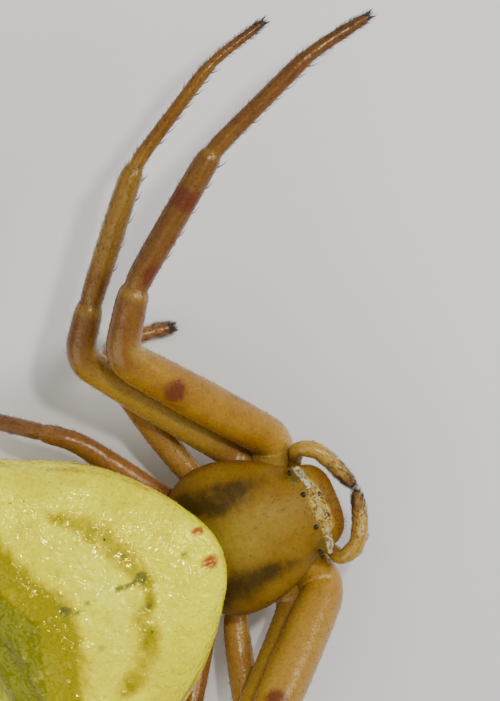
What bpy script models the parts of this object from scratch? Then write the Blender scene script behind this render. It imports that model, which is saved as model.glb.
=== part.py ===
"""Crab spider, adult female of the yellow form, life size, standing in its ambush pose.

The spider faces -Y, its left side is +X and up is +Z. It is built in millimetres, so that the
Boolean joins work on round numbers, and the last step turns it into metres. y = 0 is the row of
the rear middle eyes and z = 0 the floor.
"""
import bpy
import bmesh
from math import sin, cos, pi, radians, exp
from mathutils import Vector, Matrix
from mathutils.bvhtree import BVHTree

MM = 0.001
GAP = 0.12               # clear space between two neighbouring parts
EYE_GAP = 0.025          # clear space round an eye in its socket
UP = Vector((0.0, 0.0, 1.0))

# Carapace: (y, half width, top) at its stations, over a flat underside that rises under the face
CARAPACE_BOTTOM = 1.72
FACE_LIFT = 0.20
FACE_START = 0.45        # y where the underside starts to rise
FACE_RUN = 0.60
CARAPACE_FULLNESS = 2.35
CARAPACE_SIDES = 32
CARAPACE_STATIONS = [
    (-0.68, 0.30, 2.14), (-0.58, 0.60, 2.26), (-0.44, 0.80, 2.38), (-0.26, 0.90, 2.56),
    (0.00, 0.92, 2.74), (0.20, 0.99, 2.80), (0.47, 1.22, 2.84), (0.85, 1.42, 2.89),
    (1.25, 1.56, 2.91), (1.65, 1.65, 2.88), (2.05, 1.64, 2.74), (2.40, 1.49, 2.50),
    (2.70, 1.22, 2.23), (2.92, 0.86, 2.02), (3.05, 0.45, 1.88),
]

# Eye tubercles: one cone at each front corner of the carapace
TUBERCLE_FOOT = Vector((0.73, 0.07, 2.20))
TUBERCLE_TIP = Vector((0.91, -0.09, 2.82))
TUBERCLE_RADII = (0.30, 0.07)

# Eyes: x, y and radius of the left one of each pair; the lateral ones sit on the tubercles
FACE_EYES = {"eye_front_middle": (0.235, -0.30, 0.075), "eye_rear_middle": (0.365, 0.0, 0.062)}
SIDE_EYES = {"eye_front_side": (radians(-100), 0.45, 0.085), "eye_rear_side": (radians(75), 0.62, 0.075)}
EYE_SUNK = 0.35          # share of its radius that an eye's middle lies below the surface

# Abdomen: (y, half width, level of the widest line, top, bottom) at its stations
ABDOMEN_SIDES = 36
ABDOMEN_STATIONS = [
    (2.02, 0.47, 3.18, 3.46, 2.98), (2.14, 0.84, 3.16, 3.60, 2.92), (2.38, 1.27, 3.12, 3.72, 2.84),
    (2.70, 1.69, 3.05, 3.82, 2.60), (3.02, 2.03, 2.95, 3.90, 2.14), (3.26, 2.26, 2.90, 3.96, 1.72),
    (3.55, 2.50, 2.86, 4.02, 1.26), (4.00, 2.80, 2.80, 4.09, 0.86), (4.60, 3.11, 2.74, 4.16, 0.58),
    (5.30, 3.42, 2.74, 4.22, 0.45), (5.95, 3.58, 2.80, 4.24, 0.50), (6.45, 3.40, 2.78, 4.14, 0.62),
    (6.90, 2.90, 2.62, 3.86, 0.80), (7.30, 2.25, 2.40, 3.42, 1.00), (7.65, 1.50, 2.14, 2.90, 1.22),
    (7.90, 0.80, 1.95, 2.42, 1.48),
]
ABDOMEN_REAR = Vector((0.0, 8.00, 1.92))
ABDOMEN_FRONT = Vector((0.0, 1.95, 3.20))
ABDOMEN_SHAPE = (2.45, 2.1)          # fullness of the back and of the belly
ABDOMEN_TURN = radians(3.0)          # the abdomen swings a little to the spider's right
ABDOMEN_HINGE = Vector((-0.08, 3.0, 0.0))
HUMP_AT = Vector((3.05, 6.05, 3.62))
HUMP_LEAN = Vector((0.72, 0.10, 0.62))
HUMP_HEIGHT = 0.85
HUMP_SPREAD = 0.80

# Sternum: (y, half width) of its shield outline
STERNUM_LEVELS = (0.95, 1.58)
STERNUM_OUTLINE = [(0.66, 0.30), (0.80, 0.56), (1.10, 0.74), (1.50, 0.73), (1.90, 0.55), (2.25, 0.32),
                   (2.46, 0.10)]

# Chelicerae, mouthparts, waist and spinnerets
CHELICERA_TOP = Vector((0.34, -0.36, 1.78))
CHELICERA_TIP = Vector((0.285, -0.40, 0.80))
CHELICERA_RADII = [(0.0, 0.255), (0.3, 0.27), (0.75, 0.20), (1.0, 0.12)]     # share of the way down, radius
CHELICERA_SIDES = 14
FANG_LEAN = (-0.55, 0.45, -0.5)
FANG_LENGTH = 0.22
FANG_RADII = (0.07, 0.02)
MAXILLA_ROOT = Vector((0.30, 0.42, 1.22))
MAXILLA_TIP = Vector((0.20, 0.02, 1.02))
MAXILLA_RADII = (0.22, 0.19)
LABIUM_ROOT = Vector((0.0, 0.52, 1.18))
LABIUM_TIP = Vector((0.0, 0.08, 1.02))
LABIUM_RADII = (0.23, 0.15)
WAIST_FRONT = Vector((0.0, 2.66, 1.22))
WAIST_REAR = Vector((-0.03, 3.20, 1.42))
WAIST_RADII = [(0.0, 0.20), (0.35, 0.22), (0.7, 0.22), (1.0, 0.20)]          # share of its length, radius
SPINNERET_FOOT = Vector((0.0, 7.56, 0.98))
SPINNERET_LEAN = Vector((0.0, 0.53, -0.85))
SPINNERET_MOUND = 0.22
SPINNERET_MOUND_RADII = (0.30, 0.25)
SPINNERET_SUNK = 0.1
SPINNERET_ACROSS = 0.12
SPINNERET_FLARE = 0.16
SPINNERET_ROWS = [(-0.16, -0.10, -0.90), (0.0, 0.0, -0.40), (0.16, 0.10, 0.05)]   # back, up, slope
SPINNERET_LENGTH = 0.42
SPINNERET_RADII = (0.10, 0.045)

# Legs: lengths of femur, patella, tibia, metatarsus and tarsus
LEG_LENGTHS = {
    1: (4.44, 1.48, 3.19, 2.80, 1.46),
    2: (4.25, 1.20, 2.97, 2.64, 1.36),
    3: (2.30, 0.68, 1.02, 0.74, 0.50),
    4: (2.25, 0.75, 1.57, 0.90, 0.58),
}
# Half thickness at the coxa's root, then at the start, middle and end of each length above
LEG_ROOT_RADIUS = {1: 0.24, 2: 0.23, 3: 0.22, 4: 0.21}
LEG_RADII = {
    1: ((0.38, 0.48, 0.40), (0.37, 0.35, 0.32), (0.295, 0.285, 0.26), (0.245, 0.235, 0.225),
        (0.22, 0.19, 0.12)),
    2: ((0.31, 0.37, 0.345), (0.33, 0.31, 0.28), (0.265, 0.26, 0.245), (0.235, 0.225, 0.22),
        (0.21, 0.18, 0.11)),
    3: ((0.26, 0.295, 0.27), (0.27, 0.265, 0.25), (0.245, 0.24, 0.235), (0.23, 0.225, 0.22),
        (0.21, 0.18, 0.13)),
    4: ((0.25, 0.265, 0.25), (0.255, 0.25, 0.24), (0.24, 0.235, 0.235), (0.23, 0.225, 0.22),
        (0.21, 0.18, 0.13)),
}
LEG_SIDES = {1: 12, 2: 12, 3: 10, 4: 10}
SHORT_RUN = 0.6          # a straight run shorter than this takes one ring, a longer one three
BEND_SHARE = 0.46        # share of the shorter neighbouring length that a bend's rounding takes
LONGEST_BEND = 0.95
TIP_ROUNDING = 0.6
COXA_ROOTS = {1: (0.94, 0.52, 1.24), 2: (0.97, 1.09, 1.22), 3: (0.92, 1.66, 1.20), 4: (0.64, 2.20, 1.20)}

# Pose: where each femur starts, then azimuth from straight ahead and elevation of each length, degrees
POSE = {
    ("left", 1): ((1.49, 0.13, 1.45), (128, 32), (57, 9), (39, 7), (24, 6), (11, -4)),
    ("left", 2): ((1.57, 1.02, 1.18), (126, 25), (56, 10), (51, 7), (32, 5), (16, -4)),
    ("left", 3): ((1.48, 2.05, 1.08), (106, 11.5), (97, -14), (40, -66), (-7, -14), (-10, -18)),
    ("left", 4): ((1.26, 2.78, 1.15), (124, 18), (144, -4), (148, -35), (144, -42), (142, -20)),
    ("right", 1): ((1.72, 0.27, 1.52), (137, 33), (70, 9), (51, 7), (36, 6), (24, -4)),
    ("right", 2): ((1.86, 0.84, 0.94), (137, 26), (72, 10), (63, 7), (45, 5), (28, -4)),
    ("right", 3): ((1.60, 2.26, 1.02), (104, 7), (96, -14), (80, -48), (62, -10), (53, -18)),
    ("right", 4): ((1.37, 2.78, 1.13), (122, 17.5), (143, -4), (148, -35), (144, -42), (142, -20)),
}
CLAW_LENGTH = 0.16
CLAW_RADII = (0.05, 0.02)
CLAW_APART = 0.056
CLAW_SPREAD = radians(24)
FLOOR_BLOCK = 40.0       # width of the block that trims the feet level

# Palps: the left one's joints and half thickness there, then the right one's joints
PALP_JOINTS = {
    "left": [(0.68, 0.06, 1.32), (1.02, -0.12, 1.58), (1.28, -0.28, 2.02), (1.06, -0.67, 2.15),
             (0.66, -0.88, 2.02), (0.20, -1.07, 1.82)],
    "right": [(0.68, 0.06, 1.32), (1.02, -0.12, 1.58), (1.28, -0.28, 2.02), (1.05, -0.68, 2.15),
              (0.64, -0.89, 2.02), (0.14, -1.06, 1.82)],
}
PALP_RADII = (0.15, 0.165, 0.17, 0.19, 0.19, 0.13)
PALP_SPLIT = 3           # joint between the palp's two nodes
PALP_SIDES = 10

COLOURS = {              # linear colour and roughness
    "amber": ((0.40, 0.20, 0.020), 0.36),
    "leg": ((0.42, 0.24, 0.025), 0.34),
    "lemon": ((0.66, 0.62, 0.13), 0.42),
    "dusky": ((0.20, 0.10, 0.035), 0.45),
    "eye": ((0.012, 0.008, 0.005), 0.10),
}

SIDES = {"left": 1.0, "right": -1.0}


def material(name):
    colour, roughness = COLOURS[name]
    mat = bpy.data.materials.get(name)
    if mat is None:
        mat = bpy.data.materials.new(name)
        mat.use_nodes = True
        shader = mat.node_tree.nodes["Principled BSDF"]
        shader.inputs["Base Color"].default_value = (*colour, 1.0)
        shader.inputs["Roughness"].default_value = roughness
        shader.inputs["Metallic"].default_value = 0.0
    return mat


def mirrored(point, side):
    return Vector((point[0] * SIDES[side], point[1], point[2]))


def new_object(name, bm, finish, anchor=(0.0, 0.0, 0.0)):
    """An object whose mesh is bm, in millimetres round its anchor, hung on the spider's frame."""
    anchor = Vector(anchor)
    for vertex in bm.verts:
        vertex.co = vertex.co - anchor
    bmesh.ops.recalc_face_normals(bm, faces=bm.faces)
    mesh = bpy.data.meshes.new(name)
    bm.to_mesh(mesh)
    bm.free()
    mesh.shade_smooth()
    mesh.set_sharp_from_angle(angle=radians(40))
    mesh.materials.append(material(finish))
    obj = bpy.data.objects.new(name, mesh)
    bpy.context.scene.collection.objects.link(obj)
    obj.location = anchor
    return obj


def loft(rings, start=None, end=None):
    """A closed skin over rings of equal count; a start or end point closes that end to a tip."""
    bm = bmesh.new()
    rows = [[bm.verts.new(point) for point in ring] for ring in rings]
    count = len(rows[0])
    for low, high in zip(rows, rows[1:]):
        for i in range(count):
            j = (i + 1) % count
            bm.faces.new((low[i], low[j], high[j], high[i]))
    for row, tip in ((rows[0], start), (rows[-1], end)):
        if tip is None:
            bm.faces.new(row)
            continue
        point = bm.verts.new(tip)
        for i in range(count):
            bm.faces.new((row[i], row[(i + 1) % count], point))
    return bm


def apply_boolean(target, others, operation):
    """Joins other objects to the target, or cuts them from it, and removes them."""
    tools = bpy.data.collections.new("tools")
    for other in others:
        tools.objects.link(other)
    boolean = target.modifiers.new("join", "BOOLEAN")
    boolean.operation = operation
    boolean.operand_type = "COLLECTION"
    boolean.collection = tools
    bpy.context.view_layer.update()
    evaluated = target.evaluated_get(bpy.context.evaluated_depsgraph_get())
    result = bpy.data.meshes.new_from_object(evaluated)
    target.modifiers.clear()
    target.data = result
    for other in others:
        bpy.data.objects.remove(other)
    bpy.data.collections.remove(tools)


def superellipse(angle, fullness):
    c, s = cos(angle), sin(angle)
    power = 2.0 / fullness
    return (abs(c) ** power * (1 if c >= 0 else -1), abs(s) ** power * (1 if s >= 0 else -1))


def ball(radius, middle, detail=2):
    bm = bmesh.new()
    bmesh.ops.create_icosphere(bm, subdivisions=detail, radius=radius, matrix=Matrix.Translation(middle))
    return bm


def spike(foot, tip, foot_radius, tip_radius, sides):
    """A tapered stick from foot to tip."""
    axis = Vector(tip) - Vector(foot)
    turn = axis.to_track_quat("Z", "Y").to_matrix().to_4x4()
    bm = bmesh.new()
    bmesh.ops.create_cone(bm, cap_ends=True, cap_tris=False, segments=sides, radius1=foot_radius,
                          radius2=tip_radius, depth=axis.length,
                          matrix=Matrix.Translation((Vector(foot) + Vector(tip)) / 2) @ turn)
    return bm


def ring_round(middle, forward, radius, sides):
    across = forward.cross(UP).normalized()
    over = across.cross(forward).normalized()
    return [middle + (across * cos(a) + over * sin(a)) * radius
            for a in (2 * pi * i / sides for i in range(sides))]


def carapace_ring(y, half_width, top):
    """A dome over a flat underside."""
    bottom = CARAPACE_BOTTOM + FACE_LIFT * min(1.0, max(0.0, (FACE_START - y) / FACE_RUN))
    arc_count = CARAPACE_SIDES * 5 // 8
    flat_count = CARAPACE_SIDES - arc_count
    ring = []
    for i in range(arc_count + 1):
        across, up = superellipse(pi * i / arc_count, CARAPACE_FULLNESS)
        ring.append(Vector((half_width * across, y, bottom + (top - bottom) * up)))
    for i in range(1, flat_count):
        ring.append(Vector((half_width * (2 * i / flat_count - 1), y, bottom)))
    return ring


def eye_places(carapace_tree):
    """Middle of every eye: dropped onto the face, or set on the tubercle's side."""
    places = {}
    for side, sign in SIDES.items():
        for name, (x, y, radius) in FACE_EYES.items():
            hit = carapace_tree.ray_cast(Vector((sign * x, y, 4.0)), -UP)
            places[f"{name}_{side}"] = (hit[0] - hit[1] * radius * EYE_SUNK, radius)
        foot, tip = mirrored(TUBERCLE_FOOT, side), mirrored(TUBERCLE_TIP, side)
        for name, (bearing, height, radius) in SIDE_EYES.items():
            out = Vector((sign * cos(bearing), sin(bearing), 0.35)).normalized()
            middle = foot.lerp(tip, height)
            hit = carapace_tree.ray_cast(middle + out, -out)
            places[f"{name}_{side}"] = (hit[0] - out * radius * EYE_SUNK, radius)
    return places


def make_carapace_and_eyes():
    rings = [carapace_ring(*station) for station in CARAPACE_STATIONS]
    carapace = new_object("carapace", loft(rings), "amber")
    tubercles = []
    for side in SIDES:
        cone = spike(mirrored(TUBERCLE_FOOT, side), mirrored(TUBERCLE_TIP, side), *TUBERCLE_RADII, 12)
        tubercles.append(new_object("tubercle", cone, "amber"))
    apply_boolean(carapace, tubercles, "UNION")

    bm = bmesh.new()
    bm.from_mesh(carapace.data)
    places = eye_places(BVHTree.FromBMesh(bm))
    bm.free()
    sockets = []
    for name, (middle, radius) in places.items():
        sockets.append(new_object("socket", ball(radius + EYE_GAP, middle), "amber"))
        new_object(name, ball(radius, middle), "eye", anchor=middle)
    apply_boolean(carapace, sockets, "DIFFERENCE")


def abdomen_point(x, y, z):
    """Raises the two rear humps, then turns the abdomen on the waist."""
    point = Vector((x, y, z))
    side = 1.0 if x >= 0 else -1.0
    hump = Vector((HUMP_AT.x * side, HUMP_AT.y, HUMP_AT.z))
    lift = HUMP_HEIGHT * exp(-((point - hump).length / HUMP_SPREAD) ** 2)
    point += Vector((HUMP_LEAN.x * side, HUMP_LEAN.y, HUMP_LEAN.z)) * lift
    hinge = Matrix.Translation(ABDOMEN_HINGE)
    return hinge @ Matrix.Rotation(ABDOMEN_TURN, 4, "Z") @ Matrix.Translation(-Vector((0.0, 3.0, 0.0))) @ point


def make_abdomen():
    back, belly = ABDOMEN_SHAPE
    rings = []
    for y, half_width, widest, top, bottom in ABDOMEN_STATIONS:
        ring = []
        for i in range(ABDOMEN_SIDES):
            angle = 2 * pi * i / ABDOMEN_SIDES
            across, up = superellipse(angle, back if sin(angle) >= 0 else belly)
            height = (top - widest) if up >= 0 else (widest - bottom)
            ring.append(abdomen_point(half_width * across, y, widest + height * up))
        rings.append(ring)
    new_object("abdomen", loft(rings, abdomen_point(*ABDOMEN_FRONT), abdomen_point(*ABDOMEN_REAR)), "lemon")


def make_spinnerets():
    """Three pairs of short cones on a low mound under the abdomen's rear end."""
    foot = abdomen_point(*SPINNERET_FOOT)
    crown = foot + SPINNERET_LEAN * SPINNERET_MOUND
    mound = new_object("spinnerets", spike(foot, crown, *SPINNERET_MOUND_RADII, 12), "lemon", anchor=foot)
    cones = []
    for back, up, slope in SPINNERET_ROWS:
        for side in SIDES:
            root = crown + mirrored((SPINNERET_ACROSS, back, up), side) - SPINNERET_LEAN * SPINNERET_SUNK
            way = mirrored((SPINNERET_FLARE, 0.75, slope), side).normalized()
            cone = spike(root, root + way * SPINNERET_LENGTH, *SPINNERET_RADII, 8)
            cones.append(new_object("cone", cone, "lemon"))
    apply_boolean(mound, cones, "UNION")


def make_sternum():
    bottom, top = STERNUM_LEVELS
    middle = (bottom + top) / 2
    rings = []
    for y, half_width in STERNUM_OUTLINE:
        ring = []
        for i in range(16):
            across, up = superellipse(2 * pi * i / 16, 3.2)
            ring.append(Vector((half_width * across, y, middle + (top - bottom) / 2 * up)))
        rings.append(ring)
    new_object("sternum", loft(rings), "amber")


def limb_rings(stations, sides):
    """Rings square to a limb's centre line; a station is (point, direction, radius)."""
    return [ring_round(point, direction, radius, sides) for point, direction, radius in stations]


def joint_bends(joints):
    """The rounding of each bend along a limb: where it starts, its corner and where it ends."""
    bends = []
    for before, here, after in zip(joints, joints[1:], joints[2:]):
        reach = BEND_SHARE * min((here - before).length, (after - here).length, LONGEST_BEND)
        start = here + (before - here).normalized() * reach
        end = here + (after - here).normalized() * reach
        bends.append((start, here, end))
    return bends


def bend_point(bend, t):
    start, middle, end = bend
    point = start * (1 - t) ** 2 + middle * 2 * t * (1 - t) + end * t ** 2
    direction = ((middle - start) * (1 - t) + (end - middle) * t).normalized()
    return point, direction


def limb_part(joints, index, radii, sides):
    """The limb's length between joints index and index + 1, cut square at each bend's middle.
    radii are those at its start, middle and end; the first length starts at the limb's root."""
    bends = joint_bends(joints)
    if index == 0:
        line = [(joints[0], (joints[1] - joints[0]).normalized())]
        far = [bend_point(bends[0], t) for t in (0.0, 0.5)]
    else:
        line = [bend_point(bends[index - 1], t) for t in (0.5, 0.75, 1.0)]
        line[0] = (line[0][0] + line[0][1] * GAP / 2, line[0][1])
        far = [bend_point(bends[index], t) for t in (0.0, 0.25, 0.5)]
    far[-1] = (far[-1][0] - far[-1][1] * GAP / 2, far[-1][1])
    near_end, far_end = line[-1][0], far[0][0]
    if index > 0:
        count = 1 if (far_end - near_end).length < SHORT_RUN else 3
        direction = (far_end - near_end).normalized()
        line += [(near_end.lerp(far_end, (i + 1) / (count + 1)), direction) for i in range(count)]
    line += far
    total = sum((b[0] - a[0]).length for a, b in zip(line, line[1:]))
    stations, run, previous = [], 0.0, line[0][0]
    for point, direction in line:
        run += (point - previous).length
        previous = point
        t = run / total
        a, b, c = radii
        radius = a + (b - a) * sin(t * pi) if t < 0.5 else c + (b - c) * sin(t * pi)
        stations.append((point, direction, radius))
    return loft(limb_rings(stations, sides))


def rounded_tip(station):
    """The last, smaller ring that rounds off a limb's end."""
    point, way, radius = station
    return (point + way * radius * TIP_ROUNDING, way, radius * TIP_ROUNDING)


def rest_on_floor(foot):
    """Cuts a foot off flat at the floor."""
    bm = bmesh.new()
    bmesh.ops.create_cube(bm, size=1.0)
    for vertex in bm.verts:
        vertex.co = Vector((vertex.co.x * FLOOR_BLOCK, vertex.co.y * FLOOR_BLOCK, vertex.co.z * 2.0 - 1.0))
    apply_boolean(foot, [new_object("floor", bm, "dusky")], "DIFFERENCE")


def leg_joints(side, number):
    """Femur's start, knee and the further joints down to the tarsus tip, from lengths and angles."""
    start, *angles = POSE[(side, number)]
    joints = [Vector(COXA_ROOTS[number]), Vector(start)]
    for length, (azimuth, elevation) in zip(LEG_LENGTHS[number], angles):
        azimuth, elevation = radians(azimuth), radians(elevation)
        step = Vector((sin(azimuth) * cos(elevation), -cos(azimuth) * cos(elevation), sin(elevation)))
        joints.append(joints[-1] + step * length)
    return [mirrored(joint, side) for joint in joints]


def make_leg(side, number):
    joints = leg_joints(side, number)
    radii = LEG_RADII[number]
    sides = LEG_SIDES[number]
    root = LEG_ROOT_RADIUS[number]
    femur_start = radii[0][0]
    label = f"leg_{number}_{side}"

    coxa = limb_part(joints, 0, (root, (root + femur_start) / 2, femur_start), sides)
    new_object(f"{label}_coxa", coxa, "amber", anchor=joints[0])
    for index, part in enumerate(("femur", "patella", "tibia"), start=1):
        segment = limb_part(joints, index, radii[index - 1], sides)
        new_object(f"{label}_{part}", segment, "leg", anchor=joints[index])
    make_foot(label, joints, radii, sides)


def make_foot(label, joints, radii, sides):
    """Metatarsus and tarsus as one piece, with its two claws."""
    bends = joint_bends(joints)
    knee = bend_point(bends[3], 0.5)
    run = [(knee[0] + knee[1] * GAP / 2, knee[1]), bend_point(bends[3], 0.75), bend_point(bends[3], 1.0)]
    direction = (joints[5] - joints[4]).normalized()
    run += [(bends[3][2].lerp(bends[4][0], t), direction) for t in (0.33, 0.67)]
    run += [bend_point(bends[4], t) for t in (0.0, 0.5, 1.0)]
    toe_direction = (joints[6] - joints[5]).normalized()
    run += [(bends[4][2].lerp(joints[6], t), toe_direction) for t in (0.5, 1.0)]
    meta, toe = radii[3], radii[4]
    radius_list = [meta[0], meta[0], meta[0], meta[1], meta[1], meta[2], toe[0], toe[0], toe[1], toe[2]]
    stations = [(point, way, radius) for (point, way), radius in zip(run, radius_list)]
    stations.append(rounded_tip(stations[-1]))
    foot = new_object(f"{label}_foot", loft(limb_rings(stations, sides)), "leg", anchor=joints[4])

    tip, radius = joints[6], toe[2]
    level = Vector((toe_direction.x, toe_direction.y, 0.0)).normalized()
    claws = []
    for sign in SIDES.values():
        out = Matrix.Rotation(CLAW_SPREAD * sign, 3, "Z") @ level
        root = tip + UP.cross(level) * CLAW_APART * sign
        claw = spike(root, root + out * (CLAW_LENGTH + radius * TIP_ROUNDING), *CLAW_RADII, 6)
        claws.append(new_object("claw", claw, "dusky"))
    apply_boolean(foot, claws, "UNION")
    if joints[6].z < radius:
        rest_on_floor(foot)


def palp_stations(joints, first, last):
    """Stations of a palp from joint first to joint last, cut square at the middle of its split bend."""
    bends = joint_bends(joints)
    stations = []
    for index in range(first, last + 1):
        if index == 0:
            line = [(joints[0], (joints[1] - joints[0]).normalized())]
        elif index == len(joints) - 1:
            line = [(joints[-1], (joints[-1] - joints[-2]).normalized())]
        else:
            steps = {first: (0.5, 1.0), last: (0.0, 0.5)}.get(index, (0.0, 0.5, 1.0))
            line = [bend_point(bends[index - 1], t) for t in steps]
        stations += [(point, way, PALP_RADII[index]) for point, way in line]
    return stations


def make_palp(side):
    joints = [mirrored(joint, side) for joint in PALP_JOINTS[side]]
    base = palp_stations(joints, 0, PALP_SPLIT)
    tip = palp_stations(joints, PALP_SPLIT, len(joints) - 1)
    point, way, radius = base[-1]
    base[-1] = (point - way * GAP / 2, way, radius)
    point, way, radius = tip[0]
    tip[0] = (point + way * GAP / 2, way, radius)
    tip.append(rounded_tip(tip[-1]))
    for part, stations, anchor in (("base", base, joints[0]), ("tip", tip, joints[PALP_SPLIT])):
        new_object(f"palp_{side}_{part}", loft(limb_rings(stations, PALP_SIDES)), "amber", anchor=anchor)


def make_chelicera(side):
    top, tip = mirrored(CHELICERA_TOP, side), mirrored(CHELICERA_TIP, side)
    turns = [2 * pi * i / CHELICERA_SIDES for i in range(CHELICERA_SIDES)]
    rings = []
    for share, radius in CHELICERA_RADII:
        middle = top.lerp(tip, share)
        rings.append([middle + Vector((cos(a), sin(a), 0.0)) * radius for a in turns])
    body = new_object(f"chelicera_{side}", loft(rings), "amber", anchor=top)
    inward = mirrored(FANG_LEAN, side).normalized()
    fang = spike(tip, tip + inward * FANG_LENGTH, *FANG_RADII, 8)
    apply_boolean(body, [new_object("fang", fang, "dusky")], "UNION")


def make_mouthparts():
    """Both maxillae and the labium between them."""
    pieces = []
    for side in SIDES:
        root, tip = mirrored(MAXILLA_ROOT, side), mirrored(MAXILLA_TIP, side)
        bm = spike(root, tip, *MAXILLA_RADII, 12)
        pieces.append(new_object("maxilla", bm, "amber"))
    body = new_object("mouthparts", spike(LABIUM_ROOT, LABIUM_TIP, *LABIUM_RADII, 12), "amber")
    apply_boolean(body, pieces, "UNION")


def make_waist():
    direction = (WAIST_REAR - WAIST_FRONT).normalized()
    rings = [ring_round(WAIST_FRONT.lerp(WAIST_REAR, share), direction, radius, 12)
             for share, radius in WAIST_RADII]
    new_object("waist", loft(rings), "amber", anchor=WAIST_FRONT)


def finish_in_metres():
    """Turns the parts into metres, hangs them on one empty and centres the model's box over the origin."""
    bpy.context.view_layer.update()
    parts = [obj for obj in bpy.context.scene.objects if obj.type == "MESH"]
    frame = bpy.data.objects.new("spider_frame", None)
    bpy.context.scene.collection.objects.link(frame)
    for obj in parts:
        obj.data.transform(Matrix.Scale(MM, 4))
        obj.location *= MM
        obj.parent = frame
    for axis in (0, 1):
        values = [vertex.co[axis] + obj.location[axis] for obj in parts for vertex in obj.data.vertices]
        frame.location[axis] = -(min(values) + max(values)) / 2


def main():
    for obj in list(bpy.data.objects):
        bpy.data.objects.remove(obj)
    make_carapace_and_eyes()
    make_sternum()
    make_mouthparts()
    make_waist()
    make_abdomen()
    make_spinnerets()
    for side in SIDES:
        make_chelicera(side)
        make_palp(side)
        for number in LEG_LENGTHS:
            make_leg(side, number)
    finish_in_metres()


main()
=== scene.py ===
"""The looks of the crab spider: skins, markings, eyes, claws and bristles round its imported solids.

Shapes are modelled in millimetres in the spider's own frame: x to its left, y to its rear, z up, y = 0 at
the row of the rear middle eyes and z = 0 at the floor. declare() then puts each piece in its place in metres.
"""
from math import sin, cos, pi, radians, sqrt
import bpy
import numpy as np
from mathutils import Vector, Matrix


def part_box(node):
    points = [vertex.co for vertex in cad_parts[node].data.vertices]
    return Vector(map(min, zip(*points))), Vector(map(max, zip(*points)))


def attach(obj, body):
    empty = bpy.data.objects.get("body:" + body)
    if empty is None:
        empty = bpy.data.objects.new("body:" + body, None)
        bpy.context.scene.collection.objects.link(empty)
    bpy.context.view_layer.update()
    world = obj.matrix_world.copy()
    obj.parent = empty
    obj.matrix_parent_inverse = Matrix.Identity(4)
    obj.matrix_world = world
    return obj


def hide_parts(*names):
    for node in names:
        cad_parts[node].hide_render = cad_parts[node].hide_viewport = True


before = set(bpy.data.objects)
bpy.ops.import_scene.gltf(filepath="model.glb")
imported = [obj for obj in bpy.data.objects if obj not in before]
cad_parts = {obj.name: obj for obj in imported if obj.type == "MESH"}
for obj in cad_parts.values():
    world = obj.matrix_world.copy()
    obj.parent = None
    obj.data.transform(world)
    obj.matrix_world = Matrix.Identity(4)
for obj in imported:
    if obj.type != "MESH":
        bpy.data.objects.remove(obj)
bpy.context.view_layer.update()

MM = 0.001
UP = Vector((0.0, 0.0, 1.0))
SIDES = {"left": 1.0, "right": -1.0}
CARAPACE_REAR = 3.05
LOW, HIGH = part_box("carapace")
PLACE = Vector(((LOW.x + HIGH.x) / 2 / MM, HIGH.y / MM - CARAPACE_REAR, 0.0))

# Camera: above the spider, turned with it, as in the photograph
PHOTO_HEIGHT = 701
PIXELS_PER_MM = 48.4
CAMERA_DISTANCE = 120.0
CAMERA_AT = Vector((11.852, -0.059, 121.708))
CAMERA_LEAN = radians(4.0)
CAMERA_TURN = radians(21.5)
SENSOR = 36.0

# Lamps: bearing and elevation in degrees, width in mm, power in watts, colour
WARM = (1.0, 0.985, 0.95)
WHITE = (1.0, 1.0, 1.0)
LAMPS = {"key": (25, 40, 30.0, 0.024, WARM), "spark": (60, 70, 4.5, 0.015, WARM),
         "fill": (215, 36, 60.0, 0.016, WHITE)}
LAMP_REACH = 60.0
LAMP_AIM = Vector((0.5, 1.5, 2.0))
SKY_STRENGTH = 0.50
FLOOR_COLOUR = (0.72, 0.71, 0.70, 1.0)

# Legs: where each femur starts, then azimuth and elevation of each length, degrees
LEG_LENGTHS = {
    1: (4.44, 1.48, 3.19, 2.80, 1.46),
    2: (4.25, 1.20, 2.97, 2.64, 1.36),
    3: (2.30, 0.68, 1.02, 0.74, 0.50),
    4: (2.25, 0.75, 1.57, 0.90, 0.58),
}
COXA_ROOTS = {1: (0.94, 0.52, 1.24), 2: (0.97, 1.09, 1.22), 3: (0.92, 1.66, 1.20), 4: (0.64, 2.20, 1.20)}
POSE = {
    ("left", 1): ((1.49, 0.13, 1.45), (128, 32), (57, 9), (39, 7), (24, 6), (11, -4)),
    ("left", 2): ((1.57, 1.02, 1.18), (126, 25), (56, 10), (51, 7), (32, 5), (16, -4)),
    ("left", 3): ((1.48, 2.05, 1.08), (106, 11.5), (97, -14), (40, -66), (-7, -14), (-10, -18)),
    ("left", 4): ((1.26, 2.78, 1.15), (124, 18), (144, -4), (148, -35), (144, -42), (142, -20)),
    ("right", 1): ((1.72, 0.27, 1.52), (137, 33), (70, 9), (51, 7), (36, 6), (24, -4)),
    ("right", 2): ((1.86, 0.84, 0.94), (137, 26), (72, 10), (63, 7), (45, 5), (28, -4)),
    ("right", 3): ((1.60, 2.26, 1.02), (104, 7), (96, -14), (80, -48), (62, -10), (53, -18)),
    ("right", 4): ((1.37, 2.78, 1.13), (122, 17.5), (143, -4), (148, -35), (144, -42), (142, -20)),
}
BEND_SHARE = 0.46
LONGEST_BEND = 0.95
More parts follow.
